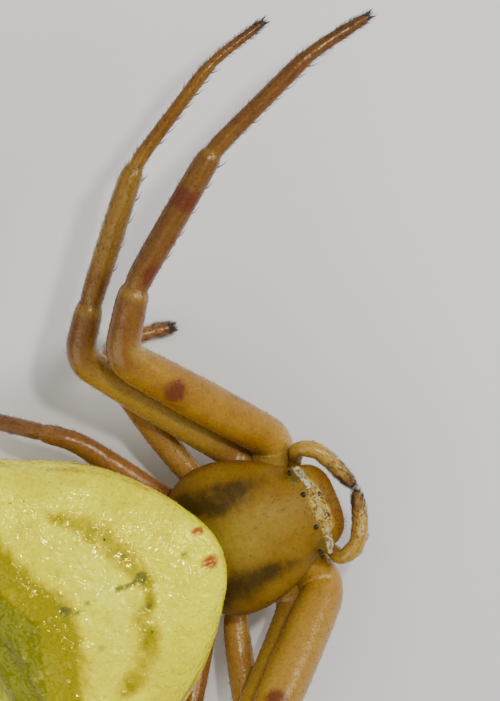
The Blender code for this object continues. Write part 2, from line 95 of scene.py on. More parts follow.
# Half thickness at the start, middle and end of coxa, femur, patella, tibia, metatarsus and tarsus
LEG_RADII = {
    1: ((0.34, 0.43, 0.44), (0.43, 0.47, 0.40), (0.375, 0.35, 0.325), (0.275, 0.285, 0.265),
        (0.205, 0.185, 0.17), (0.15, 0.14, 0.085)),
    2: ((0.32, 0.39, 0.39), (0.375, 0.38, 0.345), (0.33, 0.315, 0.28), (0.25, 0.262, 0.24),
        (0.165, 0.145, 0.135), (0.115, 0.105, 0.07)),
    3: ((0.24, 0.27, 0.27), (0.26, 0.30, 0.26), (0.255, 0.25, 0.235), (0.215, 0.215, 0.20),
        (0.18, 0.17, 0.155), (0.15, 0.145, 0.095)),
    4: ((0.23, 0.25, 0.25), (0.25, 0.265, 0.23), (0.225, 0.215, 0.20), (0.185, 0.185, 0.17),
        (0.14, 0.13, 0.12), (0.115, 0.11, 0.07)),
}
COXA, FEMUR, PATELLA, TIBIA, METATARSUS, TARSUS = range(6)
# How brown each leg is from its root to its tip, and how pink it is
LEG_DEPTH = {1: [0.0, 0.0, 0.05, 0.76, 0.88, 0.78, 0.96, 1.00], 2: [0.0, 0.0, 0.05, 0.98, 0.84, 0.56, 0.72, 1.00],
             3: [0.0, 0.0, 0.05, 0.30, 0.35, 0.50, 0.72, 0.98], 4: [0.3, 0.5, 0.72, 0.80, 0.82, 0.85, 0.92, 1.00]}
LEG_BLUSH = {1: 0.0, 2: 0.0, 3: 1.0, 4: 0.50}
LEG_SIDES = 16
STOUT_LEG = 1.07         # the right leg I is a little thicker than the left one
STOUT_BASE = 1.22        # the right leg II is broader where it leaves the body
NOTCH = 0.88             # how far a joint narrows the leg
COXA_NOTCH = 0.985
NOTCH_REACH = 0.07
KNEE_REACH = 0.10

# Palps: joints and half thickness there
PALP_JOINTS = {
    "left": [(0.68, 0.06, 1.32), (1.02, -0.12, 1.58), (1.25, -0.24, 2.02), (1.06, -0.61, 2.13),
             (0.66, -0.80, 2.04), (0.06, -1.03, 1.88)],
    "right": [(0.68, 0.06, 1.32), (1.02, -0.12, 1.58), (1.25, -0.26, 2.02), (1.08, -0.67, 2.13),
              (0.64, -0.90, 2.04), (0.03, -1.05, 1.84)],
}
PALP_RADII = (0.13, 0.150, 0.172, 0.180, 0.170, 0.115)


# Helpers for modelling

def start(kind, **settings):
    """A primitive in edit mode, with nothing else selected."""
    if bpy.context.object and bpy.context.object.mode != "OBJECT":
        bpy.ops.object.mode_set(mode="OBJECT")
    bpy.ops.object.select_all(action="DESELECT")
    getattr(bpy.ops.mesh, f"primitive_{kind}_add")(enter_editmode=True, **settings)
    return bpy.context.object


def leave(name):
    """Ends edit mode, applies the object's own turn and size, and names it."""
    bpy.ops.mesh.select_all(action="SELECT")
    bpy.ops.mesh.normals_make_consistent(inside=False)
    bpy.ops.object.mode_set(mode="OBJECT")
    bpy.ops.object.transform_apply(location=True, rotation=True, scale=True)
    piece = bpy.context.object
    piece.name = piece.data.name = name


def choose(pieces):
    """Selects pieces and nothing else, the first one active."""
    bpy.ops.object.select_all(action="DESELECT")
    for piece in pieces:
        piece.select_set(True)
    bpy.context.view_layer.objects.active = pieces[0]


def apply_modifier(piece, kind, **settings):
    choose([piece])
    modifier = piece.modifiers.new(kind.lower(), kind)
    for key, value in settings.items():
        setattr(modifier, key, value)
    bpy.ops.object.modifier_apply(modifier=modifier.name)


def smooth(piece):
    for polygon in piece.data.polygons:
        polygon.use_smooth = True
    return piece


def points(piece):
    """The mesh's points as an array."""
    spots = np.empty(len(piece.data.vertices) * 3)
    piece.data.vertices.foreach_get("co", spots)
    return spots.reshape(-1, 3)


def move_points(piece, spots):
    piece.data.vertices.foreach_set("co", np.asarray(spots, float).ravel())
    piece.data.update()


def paint(piece, **markings):
    """Keeps one value per point of the mesh for each marking, for a material to read."""
    for name, values in markings.items():
        layer = piece.data.attributes.get(name) or piece.data.attributes.new(name, "FLOAT", "POINT")
        values = np.broadcast_to(np.asarray(values, float), len(piece.data.vertices))
        layer.data.foreach_set("value", np.clip(values, 0.0, 1.0))


def joined(pieces, name):
    choose(pieces)
    bpy.ops.object.join()
    pieces[0].name = pieces[0].data.name = name
    return pieces[0]


def declare(piece, slot, *nodes):
    """Moves a piece to its place in metres, its object left at the origin, hangs it under the root and hides the
    imported parts it stands for.
    """
    piece.data.transform(Matrix.Scale(MM, 4) @ Matrix.Translation(PLACE))
    piece.data.update()
    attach(piece, "root")
    if nodes:
        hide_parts(*nodes)


def limb(name, places, sides, levels=2):
    """A straight limb along +X, rounded off by subdivision.

    A place is (x, half width, half height, lift), or (x, radius) where the limb is round and has no lift.
    """
    places = [(*place, place[1], 0.0) if len(place) == 2 else place for place in places]
    piece = start("circle", vertices=sides, radius=1.0, fill_type="NGON", rotation=(0.0, pi / 2, 0.0))
    x, width, height, lift = places[0]
    bpy.ops.transform.resize(value=(1.0, width, height))
    bpy.ops.transform.translate(value=(x, 0.0, lift))
    for place in places[1:]:
        step = (place[0] - x, 0.0, place[3] - lift)
        bpy.ops.mesh.extrude_region_move(TRANSFORM_OT_translate={"value": step})
        bpy.ops.transform.resize(value=(1.0, place[1] / width, place[2] / height),
                                 center_override=(place[0], 0.0, place[3]))
        x, width, height, lift = place
    leave(name)
    apply_modifier(piece, "SUBSURF", levels=levels, render_levels=levels)
    return smooth(piece)


def mirrored(point, side):
    return Vector((point[0] * SIDES[side], point[1], point[2]))


def near(spots, place, size):
    """1 at a place and falling smoothly to 0 at about twice the size round it."""
    away = (spots - np.array(place)) / np.array(size)
    return np.exp(-np.sum(away * away, axis=1))


def rise(values, low, high):
    """0 up to low, 1 from high on, and smooth between them."""
    t = np.clip((values - low) / (high - low), 0.0, 1.0)
    return t * t * (3.0 - 2.0 * t)


def highest(masks):
    return np.maximum.reduce(list(masks))


def stroke(spots, route, width):
    """1 along a route of (x, y) points and falling off across it; width may change along the route."""
    best = np.zeros(len(spots))
    flat = spots[:, :2]
    widths = width if isinstance(width, list) else [width] * len(route)
    for a, b, wa, wb in zip(route, route[1:], widths, widths[1:]):
        a, b = np.array(a), np.array(b)
        share = np.clip((flat - a) @ (b - a) / ((b - a) @ (b - a)), 0.0, 1.0)
        off = np.linalg.norm(flat - (a + share[:, None] * (b - a)), axis=1)
        best = np.maximum(best, np.exp(-(off / (wa + (wb - wa) * share)) ** 2))
    return best


# Camera, floor and light

def make_camera():
    towards = Vector((sin(CAMERA_LEAN), 0.0, cos(CAMERA_LEAN)))
    across = Vector((-sin(CAMERA_TURN), -cos(CAMERA_TURN), 0.0))
    across = (across - towards * across.dot(towards)).normalized()
    over = towards.cross(across)
    data = bpy.data.cameras.new("camera")
    data.sensor_width = SENSOR
    data.lens = SENSOR * PIXELS_PER_MM * CAMERA_DISTANCE / PHOTO_HEIGHT
    data.clip_start, data.clip_end = 0.01, 1.0
    camera = bpy.data.objects.new("camera", data)
    bpy.context.scene.collection.objects.link(camera)
    turn = Matrix((across, over, towards)).transposed().to_4x4()
    camera.matrix_world = Matrix.Translation((CAMERA_AT + PLACE) * MM) @ turn
    bpy.context.scene.camera = camera
    return across, over


def make_lamp(name, across, over):
    """A round lamp, its bearing counted in the picture from the right edge, anticlockwise."""
    bearing, elevation, size, power, colour = LAMPS[name]
    bearing, elevation = radians(bearing), radians(elevation)
    flat = across * cos(bearing) + over * sin(bearing)
    way = (flat * cos(elevation) + UP * sin(elevation)).normalized()
    data = bpy.data.lights.new(name, "AREA")
    data.shape, data.size, data.energy, data.color = "DISK", size * MM, power, colour
    lamp = bpy.data.objects.new(name, data)
    bpy.context.scene.collection.objects.link(lamp)
    lamp.location = (LAMP_AIM + way * LAMP_REACH + PLACE) * MM
    lamp.rotation_euler = way.to_track_quat("Z", "Y").to_euler()


def make_sky():
    world = bpy.data.worlds.new("studio")
    world.use_nodes = True
    world.node_tree.nodes["Background"].inputs["Color"].default_value = (*WHITE, 1.0)
    world.node_tree.nodes["Background"].inputs["Strength"].default_value = SKY_STRENGTH
    bpy.context.scene.world = world


def make_floor():
    floor = start("plane", size=0.4)
    bpy.ops.mesh.subdivide(number_cuts=3)
    leave("floor")
    finish = bpy.data.materials.new("pale_floor")
    finish.use_nodes = True
    shader = finish.node_tree.nodes["Principled BSDF"]
    for key, value in (("Base Color", FLOOR_COLOUR), ("Roughness", 0.9), ("Specular IOR Level", 0.15)):
        shader.inputs[key].default_value = value
    floor.data.materials.append(finish)


picture_axes = make_camera()
make_floor()
for lamp_name in LAMPS:
    make_lamp(lamp_name, *picture_axes)
make_sky()


# Finishes

class Finish:
    """A material and short ways to add its nodes."""

    def __init__(self, name, roughness, coat=0.0, coat_roughness=0.1, subsurface=0.0,
                 reach=(0.25, 0.15, 0.05), specular=0.5, tint=WHITE):
        self.material = bpy.data.materials.new(name)
        self.material.use_nodes = True
        self.tree = self.material.node_tree
        self.shader = self.tree.nodes["Principled BSDF"]
        values = {"Roughness": roughness, "Coat Weight": coat, "Coat Roughness": coat_roughness,
                  "Subsurface Weight": subsurface, "Subsurface Radius": reach, "Subsurface Scale": MM,
                  "Specular IOR Level": specular, "Specular Tint": (*tint, 1.0)}
        for key, value in values.items():
            self.shader.inputs[key].default_value = value
        self.places = self.tree.nodes.new("ShaderNodeTexCoord").outputs["Object"]

    def link(self, source, target):
        """Sets an input to a number or a colour, or links an output to it."""
        if isinstance(source, (int, float)):
            target.default_value = source
        elif isinstance(source, tuple):
            target.default_value = (*source, 1.0)
        else:
            self.tree.links.new(source, target)

    def node(self, kind, output, inputs, **settings):
        """One output of a new node that has these settings and inputs."""
        node = self.tree.nodes.new(f"ShaderNode{kind}")
        for key, value in settings.items():
            setattr(node, key, value)
        for key, value in inputs.items():
            self.link(value, node.inputs[key])
        return node.outputs[output]

    def attribute(self, name):
        return self.node("Attribute", "Fac", {}, attribute_name=name)

    def noise(self, per_mm, detail=4.0, roughness=0.55, distortion=0.0):
        return self.node("TexNoise", "Fac", {"Vector": self.places, "Scale": per_mm / MM, "Detail": detail,
                                             "Roughness": roughness, "Distortion": distortion})

    def cells(self, per_mm):
        return self.node("TexVoronoi", "Distance", {"Vector": self.places, "Scale": per_mm / MM})

    def math(self, operation, a, b):
        return self.node("Math", 0, {0: a, 1: b}, operation=operation)

    def span(self, value, low, high, bottom=0.0, top=1.0):
        """value taken from low..high to bottom..top, smoothly."""
        inputs = {"Value": value, "From Min": low, "From Max": high, "To Min": bottom, "To Max": top}
        return self.node("MapRange", "Result", inputs, interpolation_type="SMOOTHSTEP")

    def mix(self, share, first, second, blend="MIX"):
        inputs = {"Factor": share, "A": first, "B": second}
        return self.node("Mix", "Result", inputs, data_type="RGBA", blend_type=blend)

    def times(self, colour, factor):
        return self.mix(1.0, colour, factor, "MULTIPLY")

    def ragged(self, mask, texture, spread=0.5, low=0.35, high=0.65):
        """A soft mask given an uneven edge by a texture."""
        moved = self.math("ADD", mask, self.math("MULTIPLY", self.math("SUBTRACT", texture, 0.5), spread))
        return self.span(moved, low, high)

    def over(self, colour, tone, mask, share=1.0, edge=None):
        """tone laid over colour where a mask is, or the marking of that name; edge makes the mask ragged."""
        if isinstance(mask, str):
            mask = self.attribute(mask)
        if edge:
            mask = self.ragged(mask, *edge)
        if share != 1.0:
            mask = self.math("MULTIPLY", mask, share)
        return self.mix(mask, colour, tone)

    def bump(self, *heights):
        """heights: (texture, depth in mm) pairs, from the coarsest to the finest."""
        below = {}
        for texture, depth in heights:
            inputs = {"Strength": 1.0, "Distance": depth * MM, "Height": texture, **below}
            below = {"Normal": self.node("Bump", "Normal", inputs)}
        self.link(below["Normal"], self.shader.inputs["Normal"])
        self.link(below["Normal"], self.shader.inputs["Coat Normal"])

    def done(self, colour, roughness):
        self.link(colour, self.shader.inputs["Base Color"])
        self.link(roughness, self.shader.inputs["Roughness"])
        return self.material


# Legs and palps
AMBER_DEEP = (0.098, 0.031, 0.010)
AMBER = (0.255, 0.108, 0.006)
HONEY = (0.330, 0.166, 0.009)
# WHEY is the pale tone of joints and palps; it also serves as painted light that lifts shade on the leg I coxae and
# femur II, and as a painted highlight on top of the patellae's ends
WHEY = (0.46, 0.300, 0.050)
RUST = (0.118, 0.021, 0.006)
ROSE = (0.330, 0.128, 0.045)
UMBER = (0.030, 0.014, 0.009)
# Front body
SHELL_DEEP = (0.190, 0.090, 0.003)
SHELL = (0.225, 0.125, 0.008)
SHELL_RIM = (0.165, 0.060, 0.003)
SHELL_CENTRE = (0.31, 0.220, 0.024)
OLIVE_VEIL = (0.115, 0.060, 0.003)
OLIVE_DARK = (0.034, 0.017, 0.003)
SLOPE_GREY = (0.13, 0.105, 0.022)
STRIP_DARK = (0.11, 0.062, 0.004)
STRIP_GOLD = (0.50, 0.26, 0.008)
CREAM = (0.43, 0.33, 0.10)
RIDGE_DARK = (0.15, 0.12, 0.055)
RIDGE_PALE = (0.52, 0.49, 0.33)
# Abdomen
LEMON = (0.80, 0.71, 0.0002)
LEMON_PALE = (0.90, 0.86, 0.002)
CHALK = (0.92, 0.94, 0.05)
FLANK = (0.76, 0.58, 0.003)
BLOT = (0.50, 0.48, 0.002)
HAZE = (0.72, 0.57, 0.0001)
HAZE_GOLD = (0.80, 0.44, 0.001)
# GREY_GREEN darkens the green zone at the rear, partly its own colour and partly painted shade
GREY_GREEN = (0.130, 0.135, 0.008)
MUSTARD = (0.30, 0.25, 0.0001)
PIT = (0.105, 0.115, 0.032)
PINK = (0.36, 0.050, 0.020)
DOT = (0.02, 0.015, 0.01)
BLOOM = (0.93, 0.91, 0.12)


def make_leg_finish():
    f = Finish("leg_cuticle", 0.25, coat=0.05, coat_roughness=0.07, subsurface=0.42, reach=(0.46, 0.26, 0.07),
               tint=(1.0, 0.88, 0.60))
    soft = f.noise(1.3, detail=3.0)
    fine = f.noise(9.0, detail=5.0, roughness=0.65)
    colour = f.mix(f.span(soft, 0.35, 0.68), AMBER, HONEY)
    colour = f.over(colour, AMBER_DEEP, "deep", 0.9)
    colour = f.over(colour, ROSE, "rose")
    # Pale joints and palps, with painted light on shaded coxae and femora and a painted highlight at the patellae's
    # ends
    colour = f.over(colour, WHEY, "pale", f.span(fine, 0.25, 0.75, 0.6, 1.0))
    colour = f.over(colour, RUST, "rust", 0.94, (fine, 0.8, 0.22, 0.80))
    colour = f.times(colour, f.span(f.noise(22.0, detail=3.0), 0.30, 0.70, 0.86, 1.08))
    colour = f.times(colour, f.span(f.attribute("streaks"), 0.0, 1.0, 1.0, 0.78))
    colour = f.over(colour, UMBER, "specked", f.span(f.cells(6.5), 0.06, 0.11, 0.65, 0.0))
    colour = f.over(colour, UMBER, "dark", edge=(fine, 0.4))
    f.bump((f.noise(3.0, detail=2.0), 0.020), (f.noise(18.0, detail=2.0), 0.008))
    return f.done(colour, f.span(fine, 0.3, 0.7, 0.18, 0.34))


def make_prosoma_finish():
    f = Finish("prosoma_cuticle", 0.36, subsurface=0.28, reach=(0.35, 0.20, 0.05),
               specular=0.28, tint=(1.0, 0.88, 0.50))
    soft = f.noise(1.1, detail=3.0)
    fine = f.noise(8.0, detail=5.0, roughness=0.65)
    blotch = f.noise(3.4, detail=5.0, roughness=0.62, distortion=0.5)
    colour = f.mix(f.span(soft, 0.32, 0.70), SHELL_DEEP, SHELL)
    colour = f.over(colour, SHELL_RIM, "rim")
    colour = f.over(colour, SHELL_CENTRE, "centre", f.span(soft, 0.2, 0.8, 0.60, 1.0))
    colour = f.over(colour, OLIVE_VEIL, f.span(f.attribute("bands"), 0.05, 0.90, 0.0, 0.66))
    colour = f.over(colour, OLIVE_DARK, "bands", 0.84, (blotch, 1.5, 0.30, 1.05))
    colour = f.over(colour, SLOPE_GREY, f.span(f.attribute("slope"), 0.10, 1.0, 0.0, 0.75))
    strip = f.mix(f.span(f.noise(7.0, detail=3.0), 0.47, 0.55), STRIP_DARK, CREAM)
    strip = f.over(strip, STRIP_GOLD, f.span(f.noise(4.5, detail=2.0, distortion=1.2), 0.53, 0.60))
    colour = f.over(colour, strip, "crest", edge=(blotch, 0.8, 0.30, 0.75))
    ridge = f.mix(f.span(f.noise(8.0, detail=3.0), 0.42, 0.60), RIDGE_DARK, RIDGE_PALE)
    colour = f.over(colour, ridge, "ridge", edge=(fine, 0.6, 0.25, 0.70))
    colour = f.times(colour, f.span(f.noise(18.0), 0.3, 0.7, 0.88, 1.08))
    colour = f.over(colour, UMBER, f.span(f.cells(3.2), 0.035, 0.06, 0.7, 0.0))
    f.bump((f.noise(2.2, detail=2.0), 0.024), (f.noise(9.0, detail=1.0), 0.006))
    return f.done(colour, f.span(fine, 0.3, 0.7, 0.42, 0.58))


def make_abdomen_finish():
    f = Finish("abdomen_skin", 0.08, coat=0.04, coat_roughness=0.05, subsurface=0.10, reach=(0.30, 0.24, 0.02),
               specular=0.60, tint=(1.0, 0.93, 0.12))
    soft = f.noise(0.9, detail=4.0, roughness=0.6)
    fine = f.noise(7.0, detail=6.0, roughness=0.7)
    blotch = f.noise(2.6, detail=6.0, roughness=0.66, distortion=0.7)
    colour = f.mix(f.span(soft, 0.36, 0.64), LEMON, LEMON_PALE)
    colour = f.over(colour, CHALK, "chalk", f.span(blotch, 0.3, 0.6))
    colour = f.over(colour, FLANK, "flank", 0.8)
    colour = f.over(colour, BLOT, f.span(f.noise(1.9, detail=4.0, distortion=0.8), 0.54, 0.74, 0.0, 0.42))
    haze = f.span(f.ragged(f.attribute("mustard"), blotch, 0.8, 0.12, 0.62), 0.0, 1.0, 0.0, 0.96)
    colour = f.over(colour, HAZE, haze)
    colour = f.over(colour, HAZE_GOLD, haze, f.span(fine, 0.60, 0.72, 0.0, 0.30))
    # The dark green zone at the rear: partly a green marking, partly painted shade
    colour = f.over(colour, GREY_GREEN, "green_and_painted_shade", 0.94, (blotch, 0.9, 0.15, 0.85))
    colour = f.over(colour, MUSTARD, "mustard", 0.97, (blotch, 1.3, 0.34, 0.92))
    colour = f.over(colour, PIT, "pits", 0.86, (fine, 0.6, 0.15, 0.80))
    colour = f.over(colour, PINK, "pink", 0.95, (fine, 0.8, 0.22, 0.80))
    colour = f.over(colour, DOT, "dots", edge=(fine, 0.3))
    colour = f.times(colour, f.span(f.cells(11.0), 0.0, 0.65, 1.05, 0.90))
    colour = f.over(colour, BLOOM, f.span(f.noise(5.0, detail=4.0), 0.60, 0.74, 0.0, 0.25))
    f.bump((f.noise(1.4, detail=2.0, distortion=0.6), 0.170), (f.noise(5.0, detail=1.0, distortion=0.8), 0.045),
           (f.noise(13.0, detail=1.0), 0.006))
    return f.done(colour, f.span(fine, 0.3, 0.7, 0.06, 0.16))


def make_plain_finish(name, deep, bright, roughness, coat, per_mm, depth, specular=0.5):
    """Two tones of one colour in fine grain, for small parts."""
    f = Finish(name, roughness, coat=coat, coat_roughness=0.08, specular=specular)
    fine = f.noise(per_mm)
    f.bump((fine, depth))
    return f.done(f.mix(f.span(fine, 0.35, 0.65), deep, bright),
                  f.span(fine, 0.3, 0.7, roughness, roughness * 1.3))


def make_flake_finish():
    """Glassy flakes of the strip between the eyes: cream and white, some gold, orange or dark."""
    f = Finish("crest_flake", 0.16, coat=0.9, coat_roughness=0.05)
    patch = f.noise(9.0, detail=3.0, roughness=0.7)
    colour = f.mix(f.span(patch, 0.42, 0.54), (0.08, 0.045, 0.006), (0.46, 0.36, 0.10))
    colour = f.over(colour, (0.62, 0.31, 0.008), f.span(f.noise(6.0, detail=2.0, distortion=1.0), 0.52, 0.60))
    colour = f.over(colour, (0.82, 0.80, 0.60), f.span(patch, 0.60, 0.68))
    f.bump((f.noise(30.0), 0.004))
    return f.done(colour, f.span(patch, 0.3, 0.7, 0.10, 0.26))


FLAKE_FINISH = make_flake_finish()
LEG_FINISH = make_leg_finish()
PROSOMA_FINISH = make_prosoma_finish()
ABDOMEN_FINISH = make_abdomen_finish()
EYE_FINISH = make_plain_finish("eye_lens", (0.004, 0.003, 0.002), (0.012, 0.007, 0.004),
                               0.10, 0.6, 12.0, 0.001, specular=0.15)
CLAW_FINISH = make_plain_finish("claw_horn", (0.010, 0.006, 0.004), (0.05, 0.022, 0.010), 0.28, 0.4, 20.0, 0.002)
BRISTLE_FINISH = make_plain_finish("bristle", (0.030, 0.016, 0.010), (0.11, 0.060, 0.030), 0.40, 0.1, 30.0, 0.001)
SPINNERET_FINISH = make_plain_finish("spinneret", (0.20, 0.095, 0.006), (0.36, 0.21, 0.020),
                                     0.42, 0.15, 9.0, 0.004)


# Bristles: many small curved hairs as one mesh

HAIR_RINGS = ((0.0, 1.0), (0.55, 0.62))      # share of the length and of the width at each ring
HAIR_TURNS = (0.0, 2.0 * pi / 3.0, 4.0 * pi / 3.0)
HAIR_SUNK = 0.25                             # share of its length that a hair's root lies under the skin
HAIR_POINTS = 7
HAIR_FACES = [(0, 2, 1), (0, 1, 4, 3), (3, 4, 6), (1, 2, 5, 4), (4, 5, 6), (2, 0, 3, 5), (5, 3, 6)]
# Each hair has its own small patch of the OFBake map, and each of its points a place in that patch
BAKE_PATCH = 0.003
HAIR_PATCH = np.array([(0.0, 0.0), (1.0, 0.0), (0.5, 1.0), (0.1, 0.3), (0.9, 0.3), (0.5, 0.8), (0.5, 0.5)])


def on_surface(piece, count, random, weight):
    """count spots on a mesh, as (places, normals), more of them where weight(places) is higher."""
    mesh = piece.data
    mesh.calc_loop_triangles()
    spots = points(piece)
    corners = np.empty(len(mesh.loop_triangles) * 3, int)
    mesh.loop_triangles.foreach_get("vertices", corners)
    a, b, c = (spots[corners.reshape(-1, 3)[:, i]] for i in range(3))
    cross = np.cross(b - a, c - a)
    share = np.linalg.norm(cross, axis=1) * np.clip(weight((a + b + c) / 3.0), 0.0, None)
    chosen = random.choice(len(share), count, p=share / share.sum())
    u, v = random.random(count), random.random(count)
    flip = u + v > 1.0
    u[flip], v[flip] = 1.0 - u[flip], 1.0 - v[flip]
    places = a[chosen] + u[:, None] * (b - a)[chosen] + v[:, None] * (c - a)[chosen]
    return places, cross[chosen] / np.linalg.norm(cross[chosen], axis=1)[:, None]


def along_limb(length):
    """Unwraps a straight limb: how far along it, and the turn round it."""
    return lambda at: np.column_stack((at[:, 0] / length, np.arctan2(at[:, 2], at[:, 1]) / (2 * pi) + 0.5))


def round_body(level, front, length):
    """Unwraps a body that lies along y: the turn round its axis at a level, and how far along it."""
    return lambda at: np.column_stack((np.arctan2(at[:, 2] - level, at[:, 0]) / (2 * pi) + 0.5,
                                       (at[:, 1] - front) / length))


def make_hairs(name, places, normals, lean, lengths, widths, unwrap, finish, curl=0.35, marks=None):
    """Three-sided hairs that stand on normals, lie over towards lean and taper to a point.

    marks holds the skin's markings at each root, which the whole hair then carries.
    """
    count = len(places)
    way = normals + lean
    way /= np.linalg.norm(way, axis=1)[:, None]
    over = lean - way * np.sum(lean * way, axis=1)[:, None]
    size = np.linalg.norm(over, axis=1)[:, None]
    over = np.where(size > 1e-6, over / np.maximum(size, 1e-6), 0.0)
    across = np.cross(way, np.where(np.abs(way[:, 2:3]) < 0.9, [[0.0, 0.0, 1.0]], [[1.0, 0.0, 0.0]]))
    across /= np.linalg.norm(across, axis=1)[:, None]
    beside = np.cross(way, across)
    foot = places - way * (HAIR_SUNK * lengths)[:, None]
    long = (lengths * (1.0 + HAIR_SUNK))[:, None]
    widths = np.broadcast_to(widths, count)
    corners = np.empty((count, HAIR_POINTS, 3))
    for row, (share, thick) in enumerate(HAIR_RINGS):
        middle = foot + way * long * share + over * long * curl * share * share
        half = (widths * thick / 2)[:, None]
        for i, turn in enumerate(HAIR_TURNS):
            corners[:, row * 3 + i] = middle + (across * cos(turn) + beside * sin(turn)) * half
    corners[:, -1] = foot + way * long + over * long * curl
    faces = [tuple(k + HAIR_POINTS * hair for k in face) for hair in range(count) for face in HAIR_FACES]
    mesh = bpy.data.meshes.new(name)
    mesh.from_pydata(corners.reshape(-1, 3).tolist(), [], faces)
    roots = np.clip(unwrap(places), 0.002, 0.998 - BAKE_PATCH)
    layer = mesh.uv_layers.new(name="OFBake")
    index = np.empty(len(mesh.loops), int)
    mesh.loops.foreach_get("vertex_index", index)
    layer.data.foreach_set("uv", (roots[index // HAIR_POINTS] + HAIR_PATCH[index % HAIR_POINTS] * BAKE_PATCH).ravel())
    mesh.materials.append(finish)
    hairs = bpy.data.objects.new(name, mesh)
    bpy.context.scene.collection.objects.link(hairs)
    paint(hairs, **{mark: np.repeat(values, HAIR_POINTS) for mark, values in (marks or {}).items()})
    return smooth(hairs)


def make_coat(name, skin, count, random, weight, lean, spread, lengths, widths, unwrap, finish,
              scale=None, curl=0.35, marks=None):
    """count hairs all over a skin, more of them where weight(places) is higher.

    lengths is (least, most), and so is widths where it isn't one number; scale(places) changes the lengths.
    """
    at, normals = on_surface(skin, count, random, weight)
    leans = np.array(lean) + random.normal(0.0, spread, at.shape)
    sizes = random.uniform(*lengths, count)
    if scale:
        sizes = scale(at) * sizes
    if isinstance(widths, tuple):
        widths = random.uniform(*widths, count)
    return make_hairs(name, at, normals, leans, sizes, widths, unwrap, finish, curl, marks and marks(at))


# Curves that bend the straight limbs

def round_bends(joints):
    bends = []
    for before, here, after in zip(joints, joints[1:], joints[2:]):
        reach = BEND_SHARE * min((here - before).length, (after - here).length, LONGEST_BEND)
        bends.append((here + (before - here).normalized() * reach, here,
                      here + (after - here).normalized() * reach))
    return bends


def bend_length(bend):
    a, b, c = bend
    spots = [a * (1 - t) ** 2 + b * 2 * t * (1 - t) + c * t * t for t in np.linspace(0.0, 1.0, 33)]
    return sum((q - p).length for p, q in zip(spots, spots[1:]))


def joint_distances(joints):
    """Distance along the rounded line of its start, of the middle of every bend and of its end."""
    distances, run, here = [0.0], 0.0, joints[0]
    for bend in round_bends(joints):
        run += (bend[0] - here).length
        distances.append(run + bend_length(bend) / 2)
        run += bend_length(bend)
        here = bend[2]
    return distances + [run + (joints[-1] - here).length]


def make_line(joints):
    """A curve through the joints whose bends are rounded as the solids' are."""
    bpy.ops.object.select_all(action="DESELECT")
    bpy.ops.curve.primitive_bezier_curve_add()
    line = bpy.context.object
    line.data.dimensions = "3D"
    line.data.twist_mode = "Z_UP"
    line.data.resolution_u = 32
    knots = [(joints[0], None, joints[1])]
    for a, b, c in round_bends(joints):
        knots += [(a, None, b), (c, b, None)]
    knots.append((joints[-1], None, None))
    spline = line.data.splines[0]
    spline.bezier_points.add(len(knots) - 2)
    for i, (place, before, after) in enumerate(knots):
        knot = spline.bezier_points[i]
        knot.handle_left_type = knot.handle_right_type = "FREE"
        knot.co = place
        back = knots[max(i - 1, 0)][0]
        ahead = knots[min(i + 1, len(knots) - 1)][0]
        knot.handle_left = place + (before - place) * 2 / 3 if before else place + (back - place) / 3
        turning = after is not None and i > 0
        knot.handle_right = place + (after - place) * 2 / 3 if turning else place + (ahead - place) / 3
    return line


def bend_round(joints, pieces):
    line = make_line(joints)
    for piece in pieces:
        apply_modifier(piece, "CURVE", object=line, deform_axis="POS_X")
    bpy.data.objects.remove(line)


# Legs

def leg_joints(side, number):
    begin, *angles = POSE[(side, number)]
    joints = [Vector(COXA_ROOTS[number]), Vector(begin)]
    for length, (azimuth, elevation) in zip(LEG_LENGTHS[number], angles):
        azimuth, elevation = radians(azimuth), radians(elevation)
        step = Vector((sin(azimuth) * cos(elevation), -cos(azimuth) * cos(elevation), sin(elevation)))
        joints.append(joints[-1] + step * length)
    return [mirrored(joint, side) for joint in joints]


def leg_places(marks, radii):
    """Rings of a straight leg: each length swells in its middle and narrows at its joints."""
    places = [(marks[0], radii[COXA][0] * 0.6)]
    for part, (a, b, c) in enumerate(radii):
        low, high = marks[part], marks[part + 1]
        span = high - low
        places += [(low + (KNEE_REACH if part == PATELLA else NOTCH_REACH), a),
                   (low + span * 0.22, a + (b - a) * 0.75), (low + span * 0.5, b),
                   (low + span * 0.78, c + (b - c) * 0.6),
                   (high - (KNEE_REACH if part == FEMUR else NOTCH_REACH), c)]
        if part not in (FEMUR, TARSUS):
            after = radii[part + 1][0]
            tight = min(c, after) * (COXA_NOTCH if part == COXA else NOTCH)
            places.append((high, tight, tight, -0.02 * after))
    return places + [(marks[-1], radii[TARSUS][2] * 0.55)]


